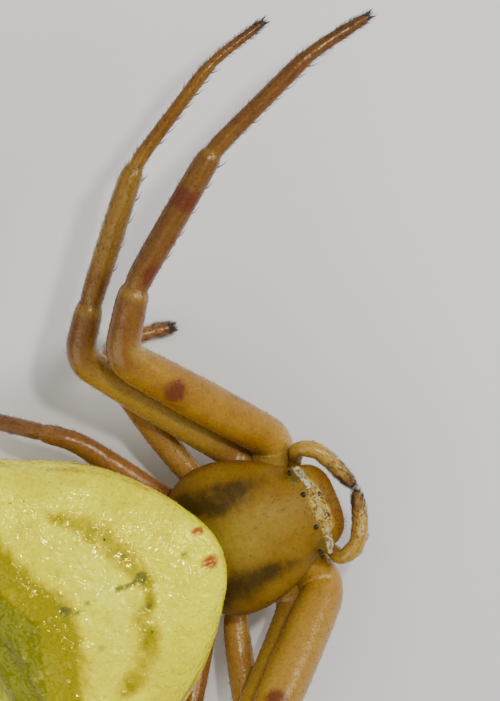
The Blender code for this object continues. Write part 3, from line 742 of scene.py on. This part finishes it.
def leg_masks(skin, marks, number, inner):
    """The markings of a leg that lies straight, among them painted highlight and painted light in the pale one; inner
    is the sign of y on the inside of its knee.
    """
    spots = points(skin)
    x, y, z = spots.T
    around = np.arctan2(z, y * inner)
    s0, s1, s2, s3, s4, s5, s6 = marks
    ring = lambda at, width: near(x[:, None], [at], [width])
    ahead = number < 3
    # A pale band at each patella's end, made stronger on top as a painted highlight; the pale inner knee membrane; a
    # faint pale tibia end
    pale = [ring(s3 - 0.13, 0.12) * (0.15 + 0.40 * rise(z, -0.05, 0.25)) * (0.60 if ahead else 0.3),
            ring(s2, 0.42) * rise(y * inner, 0.0, 0.28) * (0.55 if ahead else 0.2), ring(s4, 0.10) * 0.2]
    rust = [0.0]
    rose = np.interp(x, [s0, s1, s2, s6], [0.5, 0.75, 0.5, 0.55]) * LEG_BLUSH[number]
    if number == 1:
        # Pale coxa of leg I, near white on the left one: painted light that lifts the shade under its femur
        foot = [1.0, 0.90, 0.0] if inner < 0 else [0.60, 0.22, 0.0]
        pale.append(np.interp(x, [s0, s1 - 0.1, s1 + 0.5], foot))
        if inner > 0:
            pale.append(np.interp(x, [s1, s1 + 0.5, s2 - 0.6, s2], [0.22, 0.42, 0.42, 0.0]))
        spot = near(spots, [s1 + 0.705 * (s2 - s1), -0.06 * inner, 0.42], [0.265, 0.265, 0.45])
        rust = [spot * rise(z, 0.0, 0.2) * 1.35,
                near(spots, [s3 + 0.38, 0.20 * inner, 0.16], [0.30, 0.26, 0.32]) * 1.10,
                ring(s3 + 0.66 * (s4 - s3), 0.27) * 0.92]
    elif number == 2:
        # The second entry, a paler femur II, is painted light that lifts the shade cast on it by leg I
        pale += [np.interp(x, [s0, s1 - 0.1, s1 + 0.5], [0.45, 0.28, 0.0]),
                 np.interp(x, [s1, s1 + 0.9, s2 - 0.5, s2 + 0.2], [0.25, 0.66, 0.52, 0.0]),
                 np.interp(x, [s3 + 0.5, s3 + 1.0, s4, s4 + 0.4], [0.0, 0.30, 0.30, 0.0])]
        rust = [near(spots, [s3 + 0.32, 0.16 * inner, 0.14], [0.26, 0.20, 0.26]) * 0.62,
                ring(s3 + 0.66 * (s4 - s3), 0.22) * 0.34]
        rose = rose + 0.75 * ring(s1, 0.45)
    elif number == 3:
        pale.append(np.interp(x, [s1, s2 - 0.3, s2 + 0.2], [0.50, 0.40, 0.08]))
    depth = np.interp(x, [s0, s1, s2 - 0.6, s2 + 0.4, s3, s4, s5, s6], LEG_DEPTH[number])
    lines = 0.5 + 0.5 * np.sin(around * 11.0 + 0.9 * np.sin(x * 2.3) + 0.5 * np.sin(x * 7.1))
    paint(skin, deep=depth * (0.92 + 0.08 * np.sin(around * 3.0)), rose=rose, pale=highest(pale), rust=highest(rust),
          streaks=lines * np.interp(x, [s2, s3, s3 + 0.5, s5, s6], [0.15, 0.25, 0.85, 0.6, 0.2]),
          dark=rise(x, s6 - (0.20 if ahead else 0.34), s6 - 0.02) * (0.9 if ahead else 0.8),
          specked=np.interp(x, [s0, s1, s2, s3, s4], [0.5, 1.0, 1.0, 0.7, 0.3]))


def leg_hairs(skin, marks, radii, number, inner, label, random):
    """Short dark bristles all over, a dense brush under the tip, and paired spines under tibia and metatarsus."""
    s0, s1, s2, s3, s4, s5, s6 = marks
    ahead = number < 3
    denser = lambda at: np.interp(at[:, 0], [s1, s2, s3, s4, s5, s5 + 0.3 * (s6 - s5), s6],
                                  [0.35, 0.45, 0.8, 1.2, 2.2, 4.0, 12.0])
    longer = lambda at: np.interp(at[:, 0], [s1, s3, s6], [0.07, 0.10, 0.13])
    hairs = make_coat(f"{label}_bristles", skin, 1500 if ahead else 800, random, denser, (0.9, 0.0, 0.0), 0.22,
                      (0.7, 1.3), 0.011, along_limb(s6), BRISTLE_FINISH, scale=longer)

    spots, ways, sizes = [], [], []
    if ahead:
        for low, high, pairs, part, size in ((s3, s4, 5, TIBIA, 0.32), (s4, s5, 7, METATARSUS, 0.28)):
            for pair in range(pairs):
                x = low + (high - low) * (0.22 + 0.70 * pair / (pairs - 1))
                radius = radii[part][1] * 0.93
                for across in (0.92 * inner, -0.45 * inner):
                    spots.append((x + random.uniform(-0.04, 0.04), radius * across,
                                  -radius * sqrt(1 - across ** 2)))
                    ways.append((0.0, across, -0.40))
                    sizes.append(size * random.uniform(0.85, 1.15))
    toe = s6 - 0.05
    for i in range(150 if ahead else 110):
        turn, run = random.uniform(-pi, 0.0) if i % 5 else random.uniform(0, pi), random.random()
        radius = radii[TARSUS][2] * (0.75 + 0.5 * (1 - run))
        spots.append((toe - 0.30 * (1 - run), radius * cos(turn), radius * sin(turn)))
        ways.append((0.3 + 0.8 * run, cos(turn), sin(turn)))
        sizes.append(random.uniform(0.06, 0.13))
    spots, ways, sizes = np.array(spots), np.array(ways), np.array(sizes)
    ways /= np.linalg.norm(ways, axis=1)[:, None]
    lean = np.tile([1.1, 0.0, 0.0], (len(spots), 1))
    lean[np.abs(spots[:, 0] - toe) < 0.31] *= 0.5
    spines = make_hairs(f"{label}_spines", spots, ways, lean, sizes, np.where(sizes > 0.2, 0.040, 0.014),
                        along_limb(s6), BRISTLE_FINISH if ahead else CLAW_FINISH)
    return hairs, spines


CLAW_PLACES = [(0.0, 0.030, 0.034, 0.0), (0.05, 0.026, 0.030, 0.010), (0.10, 0.018, 0.022, 0.006),
               (0.14, 0.010, 0.013, -0.018), (0.165, 0.003, 0.004, -0.050)]
CLAW_SPREAD = radians(16)


def make_claws(tip_at, radius, label):
    """Two hooked claws side by side at a leg's end."""
    pair = []
    for sign in SIDES.values():
        claw = limb("claw", CLAW_PLACES, 8, levels=1)
        turn = Matrix.Rotation(CLAW_SPREAD * sign, 4, "Z")
        claw.data.transform(Matrix.Translation((tip_at - 0.04, sign * radius * 0.5, -0.01)) @ turn)
        pair.append(claw)
    claws = joined(pair, f"{label}_claws")
    claws.data.materials.append(CLAW_FINISH)
    return claws


def make_leg(side, number):
    label = f"leg_{number}_{side}"
    joints = leg_joints(side, number)
    marks = joint_distances(joints)
    stout = STOUT_LEG if (side, number) == ("right", 1) else 1.0
    radii = [tuple(radius * stout for radius in row) for row in LEG_RADII[number]]
    if (side, number) == ("right", 2):
        radii[COXA] = tuple(radius * STOUT_BASE for radius in radii[COXA])
        radii[FEMUR] = (radii[FEMUR][0] * STOUT_BASE, *radii[FEMUR][1:])
    skin = limb(f"{label}_skin", leg_places(marks, radii), LEG_SIDES)
    before, after = joints[2] - joints[1], joints[3] - joints[2]
    inner = 1.0 if before.cross(after).z > 0 else -1.0
    leg_masks(skin, marks, number, inner)
    skin.data.materials.append(LEG_FINISH)
    random = np.random.default_rng(number * 10 + (side == "left"))
    hairs, spines = leg_hairs(skin, marks, radii, number, inner, label, random)
    claws = make_claws(marks[-1], radii[TARSUS][2], label)
    bend_round(joints, [skin, hairs, spines, claws])
    for piece in (skin, hairs, spines, claws):
        spots = points(piece)
        spots[:, 2] = np.maximum(spots[:, 2], 0.0)
        move_points(piece, spots)
    declare(skin, "legs", *(f"{label}_{part}" for part in ("coxa", "femur", "patella", "tibia", "foot")))
    for piece in (hairs, spines, claws):
        declare(piece, "legs")


# Palps

def make_palp(side):
    label = f"palp_{side}"
    joints = [mirrored(joint, side) for joint in PALP_JOINTS[side]]
    marks = joint_distances(joints)
    places = [(marks[0], 0.08)]
    for part in range(5):
        low, high = marks[part], marks[part + 1]
        a, c = PALP_RADII[part], PALP_RADII[part + 1]
        places += [(low + 0.05, a * 0.95), (low + (high - low) * 0.5, (a + c) * 0.53), (high - 0.05, c * 0.97)]
        if part in (1, 3):
            places.append((high, c * 0.88))
    skin = limb(f"{label}_skin", places + [(marks[-1], 0.05)], 16)
    x, y, z = points(skin).T
    s0, s1, s2, s3, s4, s5 = marks
    outer = rise(y * -SIDES[side], -0.02, 0.10)
    paint(skin, deep=np.interp(x, [s2, s4, s5], [0.0, 0.1, 0.6]), rose=np.interp(x, [s3, s5], [0.06, 0.28]),
          dark=highest([rise(x, s5 - 0.24, s5 + 0.02) * 0.75, rise(x, s4 + 0.05, s4 + 0.30) * outer * 0.60]),
          pale=np.interp(x, [s1, s2, s4, s5], [0.30, 0.82, 0.80, 0.30]), rust=0.0, specked=0.5,
          streaks=(0.5 + 0.5 * np.sin(np.arctan2(z, y) * 7.0 + np.sin(x * 5.0))) * 0.45)
    skin.data.materials.append(LEG_FINISH)
    random = np.random.default_rng(50 + (side == "left"))
    denser = lambda at: np.interp(at[:, 0], [s1, s2, s3, s4, s5], [0.1, 0.4, 1.0, 3.0, 7.0])
    longer = lambda at: np.interp(at[:, 0], [s2, s4, s5], [0.05, 0.10, 0.11])
    hairs = make_coat(f"{label}_bristles", skin, 560, random, denser, (1.1, 0.0, 0.0), 0.2,
                      (0.6, 1.3), 0.013, along_limb(s5), BRISTLE_FINISH, scale=longer)
    bend_round(joints, [skin, hairs])
    declare(skin, "prosoma", f"{label}_base", f"{label}_tip")
    declare(hairs, "prosoma")


# Front body

# y, half width, top, widest level and bottom of the carapace
CARAPACE = [
    (-0.64, 0.34, 2.10, 2.02, 1.90), (-0.58, 0.60, 2.22, 2.04, 1.86), (-0.44, 0.80, 2.40, 2.06, 1.80),
    (-0.26, 0.90, 2.58, 2.10, 1.76), (-0.06, 0.915, 2.72, 2.12, 1.74), (0.15, 0.96, 2.79, 2.10, 1.72),
    (0.35, 1.11, 2.82, 2.06, 1.68), (0.62, 1.31, 2.86, 2.02, 1.66), (0.95, 1.46, 2.89, 2.00, 1.64),
    (1.30, 1.58, 2.90, 1.98, 1.64), (1.65, 1.65, 2.87, 1.97, 1.64), (2.05, 1.63, 2.74, 1.96, 1.64),
    (2.40, 1.49, 2.50, 1.94, 1.64), (2.70, 1.22, 2.24, 1.92, 1.64), (2.92, 0.86, 2.04, 1.88, 1.66),
    (3.04, 0.45, 1.92, 1.84, 1.70),
]
STERNUM = [(0.64, 0.26), (0.80, 0.54), (1.10, 0.72), (1.50, 0.71), (1.90, 0.54), (2.25, 0.31), (2.44, 0.10)]
WAIST = [(2.40, 0.17, 0.17, 1.30), (2.70, 0.20, 0.20, 1.28), (2.95, 0.19, 0.19, 1.36), (3.30, 0.17, 0.17, 1.50)]
SKIN_VOXEL = 0.032
CREST_ROUTE = [(0.95, -0.05), (0.68, -0.13), (0.40, -0.20), (0.0, -0.24), (-0.34, -0.25), (-0.70, -0.15),
               (-0.95, -0.10)]
CREST_WIDTH = [0.06, 0.08, 0.14, 0.20, 0.18, 0.08, 0.06]
# The pale ridges that run in from each eye tubercle
RIDGE_ROUTES = ([(0.93, -0.05), (0.72, -0.12), (0.50, -0.17)],
                [(-0.50, -0.20), (-0.70, -0.15), (-0.93, -0.11)])
# The dark bands down the carapace: route and width
DARK_BANDS = [([(1.00, 2.50), (0.90, 2.05), (0.88, 1.60), (0.90, 1.15), (0.92, 0.65)],
               [0.38, 0.42, 0.40, 0.33, 0.20]),
              ([(-1.10, 2.50), (-0.93, 2.00), (-0.90, 1.55), (-0.88, 1.10), (-0.88, 0.65)],
               [0.34, 0.36, 0.32, 0.27, 0.17])]
CARAPACE_MIDDLE = np.array([0.0, 1.45])
FURROWS = (35, 62, 90, 118)
EYES = [f"eye_{row}_{place}_{side}" for row in ("front", "rear") for place in ("middle", "side") for side in SIDES]


def turned_back(piece):
    """Turns a form that was modelled along +X so that it lies along +Y."""
    piece.data.transform(Matrix.Rotation(pi / 2, 4, "Z"))
    return piece


def lump(middle, size):
    """A rounded mass that is melted into a skin."""
    ball = start("uv_sphere", segments=24, ring_count=16, radius=1.0)
    leave("lump")
    ball.data.transform(Matrix.Translation(middle) @ Matrix.Diagonal((*size, 1.0)))
    return ball


def cone(foot, tip, foot_radius, tip_radius):
    axis = tip - foot
    piece = start("cone", vertices=20, radius1=foot_radius, radius2=tip_radius, depth=axis.length)
    leave("cone")
    turn = axis.to_track_quat("Z", "Y").to_matrix().to_4x4()
    piece.data.transform(Matrix.Translation((foot + tip) / 2) @ turn)
    return piece


def make_carapace_dome():
    places = [(y, half, (top - bottom) / 2, (top + bottom) / 2) for y, half, top, _, bottom in CARAPACE]
    dome = turned_back(limb("dome", places, 28))
    spots = points(dome)
    ys = [row[0] for row in CARAPACE]
    top, widest, bottom = (np.interp(spots[:, 1], ys, [row[i] for row in CARAPACE]) for i in (2, 3, 4))
    share = (spots[:, 2] - (top + bottom) / 2) / ((top - bottom) / 2)
    spots[:, 2] = np.where(share > 0, widest + share * (top - widest), widest + share * (widest - bottom))
    move_points(dome, spots)
    return dome


def eye_box(name):
    low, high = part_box(name)
    return (low + high) / 2 / MM - PLACE, (high - low).x / 2 / MM


def make_prosoma():
    forms = [make_carapace_dome(), turned_back(limb("breast", [(y, half, 0.30, 1.27) for y, half in STERNUM], 20)),
             lump((0.0, 1.45, 1.58), (1.02, 1.22, 0.34)), lump((0.0, 0.25, 1.62), (0.62, 0.62, 0.36)),
             turned_back(limb("waist", WAIST, 16))]
    for side in SIDES:
        forms += [cone(mirrored((0.70, 0.06, 2.30), side), mirrored((0.925, -0.09, 2.835), side), 0.27, 0.055),
                  lump(mirrored((0.27, 0.24, 1.12), side), (0.17, 0.30, 0.16))]
    forms.append(lump((0.0, 0.34, 1.10), (0.17, 0.26, 0.14)))
    for name in EYES:
        middle, radius = eye_box(name)
        forms.append(lump(middle - Vector((0.0, 0.0, radius * 0.55)), (radius * 1.35,) * 3))
    skin = joined(forms, "prosoma_skin")
    apply_modifier(skin, "REMESH", mode="VOXEL", voxel_size=SKIN_VOXEL)
    apply_modifier(skin, "SMOOTH", factor=0.5, iterations=5)
    spots = points(skin)
    upper, crest = shape_prosoma(spots)
    move_points(skin, spots)
    paint(skin, **prosoma_marks(spots, upper, crest))
    skin.data.materials.append(PROSOMA_FINISH)
    smooth(skin)

    random = np.random.default_rng(7)
    unwrap = round_body(2.0, -0.8, 4.4)
    denser = lambda at: rise(at[:, 2], 1.9, 2.2) * (0.6 + 2.0 * rise(-at[:, 1], 0.2, 0.45))
    hairs = make_coat("prosoma_bristles", skin, 420, random, denser, (0.0, -0.7, 0.1), 0.25,
                      (0.05, 0.12), 0.012, unwrap, BRISTLE_FINISH)
    on_crest = lambda at: (stroke(at, CREST_ROUTE, CREST_WIDTH) ** 2 * rise(at[:, 2], 2.3, 2.6)
                           * (1 - 0.75 * rise(np.abs(at[:, 0]), 0.45, 0.65)))
    flakes = make_coat("crest_flakes", skin, 300, random, on_crest, (0.0, 0.0, 0.0), 0.35,
                       (0.008, 0.024), (0.028, 0.058), unwrap, FLAKE_FINISH, curl=0.0)
    declare(skin, "prosoma", "carapace", "sternum", "mouthparts", "waist")
    declare(hairs, "prosoma")
    declare(flakes, "prosoma")


def shape_prosoma(spots):
    """Raises the strip between the eyes and its ridges, and sinks the groove and the furrows."""
    x, y, z = spots.T
    upper = rise(z, 1.9, 2.3)
    crest = stroke(spots, CREST_ROUTE, CREST_WIDTH) * rise(z, 2.2, 2.5)
    ripple = 0.55 + 0.45 * np.sin(x * 23.0 + 1.3) * np.sin(x * 9.0 + y * 31.0)
    knobs = 0.78 + 0.22 * np.sin(x * 34.0 + 0.6)
    ridges = [stroke(spots, route, 0.095) * rise(z, 2.3, 2.55) * 0.105 * knobs for route in RIDGE_ROUTES]
    spots[:, 2] += highest([crest * 0.045 * ripple, *ridges])
    spots[:, 2] -= 0.035 * np.exp(-((y - 1.55) / 0.28) ** 2 - (x / 0.07) ** 2) * upper
    flat = spots[:, :2] - CARAPACE_MIDDLE
    for angle in FURROWS:
        for sign in SIDES.values():
            way = np.array([sin(radians(angle)) * sign, -cos(radians(angle))])
            along = flat @ way
            aside = flat @ np.array([way[1], -way[0]])
            furrow = np.exp(-(aside / 0.075) ** 2) * rise(along, 0.3, 0.7) * (1 - rise(along, 1.1, 1.6))
            spots[:, 2] -= 0.007 * furrow * upper
    return upper, crest


def prosoma_marks(spots, upper, crest):
    x, y, z = spots.T
    bands = highest(stroke(spots, route, width) for route, width in DARK_BANDS)
    centre = np.exp(-((x / (0.52 + 0.12 * (y - 1.0))) ** 2) - ((y - 1.75) / 0.85) ** 2)
    ridge = highest(stroke(spots, route, 0.080) for route in RIDGE_ROUTES)
    slope = [near(spots, (0.72 * sign, 0.06, 2.72), (0.24, 0.13, 0.24)) for sign in SIDES.values()]
    slope.append(stroke(spots, [(0.45, 0.02), (0.0, -0.03), (-0.45, 0.0)], 0.10) * 0.45)
    return {"bands": bands * upper * (0.46 + 0.54 * rise(y, 0.35, 1.5)), "centre": centre * upper,
            "rim": (1 - rise(z, 2.0, 2.35)) * 0.9 + rise(-y, 0.28, 0.42) * 0.6, "crest": crest * 1.1,
            "ridge": ridge * rise(z, 2.45, 2.65), "slope": highest(slope) * (1 - crest) * upper}


def make_eyes():
    for name in EYES:
        middle, radius = eye_box(name)
        eye = start("uv_sphere", segments=32, ring_count=20, radius=radius)
        bpy.ops.transform.resize(value=(1.0, 1.0, 1.06))
        leave(f"{name}_lens")
        eye.data.transform(Matrix.Translation(middle + Vector((0.0, 0.0, radius * 0.10))))
        eye.data.materials.append(EYE_FINISH)
        declare(smooth(eye), "eyes", name)


FANG_PLACES = [(0.0, 0.055, 0.055, 0.0), (0.07, 0.050, 0.050, 0.015), (0.14, 0.035, 0.035, 0.01),
               (0.20, 0.018, 0.018, -0.02), (0.23, 0.004, 0.004, -0.05)]


def make_chelicera(side):
    top, tip = mirrored((0.34, -0.34, 1.86), side), mirrored((0.285, -0.42, 0.82), side)
    long = (tip - top).length
    places = [(0.0, 0.17), (0.08, 0.235, 0.225, 0.0), (long * 0.35, 0.265, 0.25, 0.015),
              (long * 0.70, 0.215, 0.205, 0.01), (long * 0.92, 0.150), (long, 0.09)]
    body = limb(f"chelicera_{side}_skin", places, 18)
    axis = (tip - top).to_track_quat("X", "Z").to_matrix().to_4x4()
    body.data.transform(Matrix.Translation(top) @ axis)
    paint(body, deep=np.interp(points(body)[:, 2], [0.8, 1.7], [0.55, 0.2]), dark=0.0, rose=0.1, pale=0.0, rust=0.0,
          specked=0.6, streaks=0.2)
    body.data.materials.append(LEG_FINISH)
    fang = limb(f"fang_{side}", FANG_PLACES, 10)
    way = mirrored((-0.55, 0.45, -0.5), side).normalized()
    fang.data.transform(Matrix.Translation(tip - way * 0.02) @ way.to_track_quat("X", "Z").to_matrix().to_4x4())
    fang.data.materials.append(CLAW_FINISH)
    declare(body, "prosoma", f"chelicera_{side}")
    declare(fang, "prosoma")


# Abdomen

# y, half width, widest level, top and bottom of the abdomen
ABDOMEN = [
    (1.95, 0.00, 3.18, 3.20, 3.16), (1.98, 0.34, 3.18, 3.38, 3.04), (2.03, 0.52, 3.18, 3.46, 2.98),
    (2.14, 0.86, 3.16, 3.58, 2.92), (2.38, 1.29, 3.12, 3.72, 2.82), (2.70, 1.70, 3.05, 3.82, 2.58),
    (3.02, 2.04, 2.95, 3.90, 2.14), (3.26, 2.27, 2.90, 3.95, 1.74), (3.55, 2.51, 2.86, 4.01, 1.28),
    (4.00, 2.81, 2.80, 4.08, 0.88), (4.60, 3.12, 2.74, 4.15, 0.60), (5.30, 3.42, 2.74, 4.20, 0.47),
    (5.95, 3.58, 2.80, 4.21, 0.50), (6.45, 3.40, 2.78, 4.12, 0.62), (6.90, 2.90, 2.62, 3.85, 0.80),
    (7.30, 2.25, 2.40, 3.42, 1.00), (7.65, 1.50, 2.14, 2.92, 1.22), (7.90, 0.80, 1.95, 2.42, 1.48),
    (8.00, 0.00, 1.92, 1.94, 1.90),
]
ABDOMEN_SEGMENTS = 300
ABDOMEN_RINGS = 210
ABDOMEN_FULLNESS = (2.45, 2.1)
ABDOMEN_TURN = radians(3.0)
ABDOMEN_HINGE = (-0.08, 3.0)
HUMP_AT = (3.05, 6.05, 3.62)
HUMP_LEAN = (0.72, 0.10, 0.62)
HUMP_HEIGHT = 0.85
HUMP_SPREAD = 0.80
BAND_FRONT = [(1.92, 4.95), (1.70, 4.55), (1.40, 4.30), (1.00, 4.02), (0.50, 3.76), (-0.10, 3.64),
              (-0.40, 3.68), (-0.68, 4.02), (-1.11, 3.98), (-1.40, 4.14), (-1.75, 4.55), (-1.95, 4.85)]
BAND_FRONT_WIDTH = [0.16, 0.26, 0.34, 0.36, 0.32, 0.22, 0.17, 0.24, 0.33, 0.32, 0.30, 0.24]
BAND_FRONT_DEPTH = 0.72
BAND_REAR = [(2.60, 6.50), (2.05, 6.46), (1.50, 6.36), (1.03, 6.18), (0.54, 5.92), (0.03, 5.58),
             (-0.44, 5.68), (-1.08, 5.88), (-1.69, 6.04), (-2.35, 6.34)]
BAND_REAR_WIDTH = [0.20, 0.30, 0.36, 0.38, 0.40, 0.38, 0.44, 0.46, 0.42, 0.28]
BAND_REAR_DEPTH = 1.30
# Muscle pits: x, y, size and depth; then the dark streaks that two of them trail: route, width and depth
SIGILLA = [(0.21, 2.72, 0.11, 0.62), (0.12, 3.70, 0.13, 1.15), (0.65, 3.88, 0.12, 0.62), (-0.49, 3.76, 0.09, 0.80),
           (0.06, 5.40, 0.12, 1.10), (-0.91, 5.00, 0.11, 0.5), (0.83, 5.25, 0.10, 0.5), (0.88, 4.75, 0.07, 0.4),
           (-0.10, 6.20, 0.10, 0.6), (0.9, 6.5, 0.10, 0.5), (-1.2, 6.6, 0.10, 0.5)]
PIT_STREAKS = [([(0.12, 3.70), (0.05, 3.95), (0.10, 4.22)], [0.10, 0.055, 0.075], 1.0),
               ([(0.06, 5.40), (-0.04, 5.15), (0.04, 4.88)], [0.09, 0.045, 0.050], 0.95)]
BLACK_DOTS = [(1.11, 4.10), (-0.99, 3.89), (2.52, 5.61), (2.56, 5.50), (2.46, 5.36), (-2.6, 5.6), (0.30, 5.10)]
DOT_SIZE = 0.036
PINK_MARKS = [(0.53, 2.30, 0.11, 0.17), (-0.13, 2.28, 0.16, 0.21)]


def make_abdomen():
    skin = start("uv_sphere", segments=ABDOMEN_SEGMENTS, ring_count=ABDOMEN_RINGS, radius=1.0)
    leave("abdomen_skin")
    ball = points(skin)
    lengths = [row[0] for row in ABDOMEN]
    y = lengths[0] + (lengths[-1] - lengths[0]) * (1 + np.clip(-ball[:, 2], -1.0, 1.0)) / 2
    half, widest, top, bottom = (np.interp(y, lengths, [row[i] for row in ABDOMEN]) for i in (1, 2, 3, 4))
    turn = np.arctan2(ball[:, 1], ball[:, 0])
    c, s = np.cos(turn), np.sin(turn)
    power = 2.0 / np.where(s >= 0, *ABDOMEN_FULLNESS)
    x = half * (np.sign(c) * np.abs(c) ** power)
    z = widest + np.where(s >= 0, top - widest, widest - bottom) * (np.sign(s) * np.abs(s) ** power)
    spots = np.column_stack((x, y, z))
    side = np.where(x >= 0, 1.0, -1.0)
    sided = lambda way: np.column_stack((way[0] * side, np.full(len(x), way[1]), np.full(len(x), way[2])))
    lift = HUMP_HEIGHT * np.exp(-(np.linalg.norm(spots - sided(HUMP_AT), axis=1) / HUMP_SPREAD) ** 2)
    spots += sided(HUMP_LEAN) * lift[:, None]
    cs, sn = cos(ABDOMEN_TURN), sin(ABDOMEN_TURN)
    flat = spots[:, :2] - np.array([0.0, ABDOMEN_HINGE[1]])
    spots[:, 0] = flat[:, 0] * cs - flat[:, 1] * sn + ABDOMEN_HINGE[0]
    spots[:, 1] = flat[:, 0] * sn + flat[:, 1] * cs + ABDOMEN_HINGE[1]
    move_points(skin, spots)
    apply_modifier(skin, "SMOOTH", factor=0.5, iterations=12)
    shape_abdomen(skin)
    paint(skin, **abdomen_marks(points(skin)))
    skin.data.materials.append(ABDOMEN_FINISH)
    smooth(skin)
    grains, hairs = make_abdomen_coat(skin)
    declare(skin, "abdomen", "abdomen")
    declare(grains, "abdomen")
    declare(hairs, "abdomen")


def shape_abdomen(skin):
    """Muscle pits, soft folds round the sides and across the rear, a slightly quilted back, and the shoulders."""
    spots = points(skin)
    x, y, z = spots.T.copy()
    above = rise(z, 3.0, 3.6)
    sink = highest(near(spots[:, :2], (px, py), size * 1.3) * depth * 0.035 for px, py, size, depth in SIGILLA)
    quilt = 0.030 * np.sin(x * 2.3 + 0.6 * np.sin(y * 1.7)) * np.sin(y * 2.1 + 0.5 * np.sin(x * 2.9))
    quilt += 0.018 * np.sin(x * 5.3 + 1.2 * np.sin(y * 3.1)) * np.sin(y * 4.7 + np.sin(x * 4.1))
    folds = 0.045 * np.sin(z * 11.0 + 0.8 * np.sin(x * 1.9)) * rise(y, 6.3, 6.9) * rise(z, 1.4, 2.2)
    flank = rise(np.abs(x), 1.6, 2.4) * (1 - rise(z, 1.9, 2.4)) * rise(z, 0.9, 1.4)
    folds += 0.030 * np.sin(y * 8.0 + 1.5 * np.sin(z * 3.0)) * flank
    folds *= 1 - rise(z, 2.5, 2.9) * (y < 5.5)
    normals = np.empty(len(x) * 3)
    skin.data.vertices.foreach_get("normal", normals)
    spots = spots + normals.reshape(-1, 3) * (quilt * above - sink * above + folds)[:, None]
    high = rise(z, 1.6, 2.6)
    right = rise(-x, -0.3, 1.7) * (1 - rise(y, 4.8, 6.4)) * high
    front = (1 - rise(y, 2.8, 4.4)) * rise(y, 2.0, 2.3) * high
    left = rise(x, 0.8, 2.2) * (1 - rise(y, 5.4, 6.6)) * high
    spots[:, 0] += 0.125 * right + 0.055 * left
    spots[:, 1] += 0.110 * right + 0.055 * front * (1 - right)
    move_points(skin, spots)


def abdomen_marks(spots):
    """The abdomen's markings at spots, by name; the dark green zone is partly painted shade."""
    x, y, z = spots.T
    flat = spots[:, :2]
    above = rise(z, 2.9, 3.5)
    mustard = np.maximum(stroke(spots, BAND_FRONT, BAND_FRONT_WIDTH) * BAND_FRONT_DEPTH,
                         np.minimum(stroke(spots, BAND_REAR, BAND_REAR_WIDTH) * BAND_REAR_DEPTH, 1.0))
    behind = y - np.interp(x, *zip(*BAND_REAR[::-1]))
    # The green zone behind the rear band, spread wide and dark over the rear: partly a green marking, partly painted
    # shade
    green_and_painted_shade = rise(behind, 0.02, 0.55) * (1 - rise(y, 6.7, 7.9)) * (1 - rise(np.abs(x + 0.3), 1.4, 2.9))
    pits = [near(flat, (px, py), size) * depth for px, py, size, depth in SIGILLA]
    pits += [stroke(spots, route, width) * depth for route, width, depth in PIT_STREAKS]
    dots = highest(near(flat, place, DOT_SIZE) for place in BLACK_DOTS)
    marks = highest(near(flat, (px, py), size) for px, py, *size in PINK_MARKS) * rise(z, 3.2, 3.5)
    edge = np.exp(-((z - 3.32) / 0.13) ** 2) * rise(y, 2.5, 3.0) * (1 - rise(y, 4.6, 5.6))
    pink = np.maximum(marks, edge * 0.46 * (1 + 0.20 * np.sin(y * 4.3 + 0.8 * x)))
    chalk = near(flat, (0.2, 4.55), (1.7, 0.55)) * (1 - mustard)
    return {"mustard": mustard * above, "green_and_painted_shade": green_and_painted_shade * rise(z, 1.7, 3.5), "pits": highest(pits) * above,
            "dots": dots * above, "pink": pink, "chalk": chalk * above,
            "flank": (1 - rise(z, 2.4, 3.3)) * rise(y, 2.2, 3.0) * 0.85}


def make_abdomen_coat(skin):
    """Low glassy grains, most of them along the bands, and very short bristles all over."""
    random = np.random.default_rng(11)
    unwrap = round_body(2.6, 1.5, 7.2)
    glassy = lambda at: 0.12 + 0.40 * rise(at[:, 2], 2.0, 3.4) + 2.2 * abdomen_marks(at)["mustard"]
    grains = make_coat("abdomen_grains", skin, 1700, random, glassy, (0.0, 0.0, 0.0), 0.25,
                       (0.006, 0.014), (0.030, 0.060), unwrap, ABDOMEN_FINISH, curl=0.0, marks=abdomen_marks)
    higher = lambda at: 0.25 + rise(at[:, 2], 2.0, 3.4)
    hairs = make_coat("abdomen_bristles", skin, 1500, random, higher, (0.0, 0.6, 0.0), 0.3,
                      (0.035, 0.075), 0.010, unwrap, BRISTLE_FINISH)
    return grains, hairs


def make_spinnerets():
    low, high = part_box("spinnerets")
    foot = (low + high) / 2 / MM - PLACE
    forms = [lump(foot + Vector((0.0, -0.14, 0.10)), (0.30, 0.24, 0.20))]
    for back, up, slope in ((-0.14, -0.08, -0.90), (0.0, 0.0, -0.40), (0.14, 0.08, 0.05)):
        for side in SIDES:
            root = foot + mirrored((0.12, back - 0.12, up), side)
            end = root + mirrored((0.16, 0.75, slope), side).normalized() * 0.36
            forms += [cone(root, end, 0.095, 0.045), lump(end, (0.045, 0.045, 0.045))]
    piece = joined(forms, "spinnerets_skin")
    apply_modifier(piece, "REMESH", mode="VOXEL", voxel_size=0.018)
    apply_modifier(piece, "SMOOTH", factor=0.5, iterations=4)
    piece.data.materials.append(SPINNERET_FINISH)
    declare(smooth(piece), "abdomen", "spinnerets")


make_prosoma()
make_eyes()
make_abdomen()
make_spinnerets()
for side in SIDES:
    make_chelicera(side)
    make_palp(side)
    for number in LEG_LENGTHS:
        make_leg(side, number)
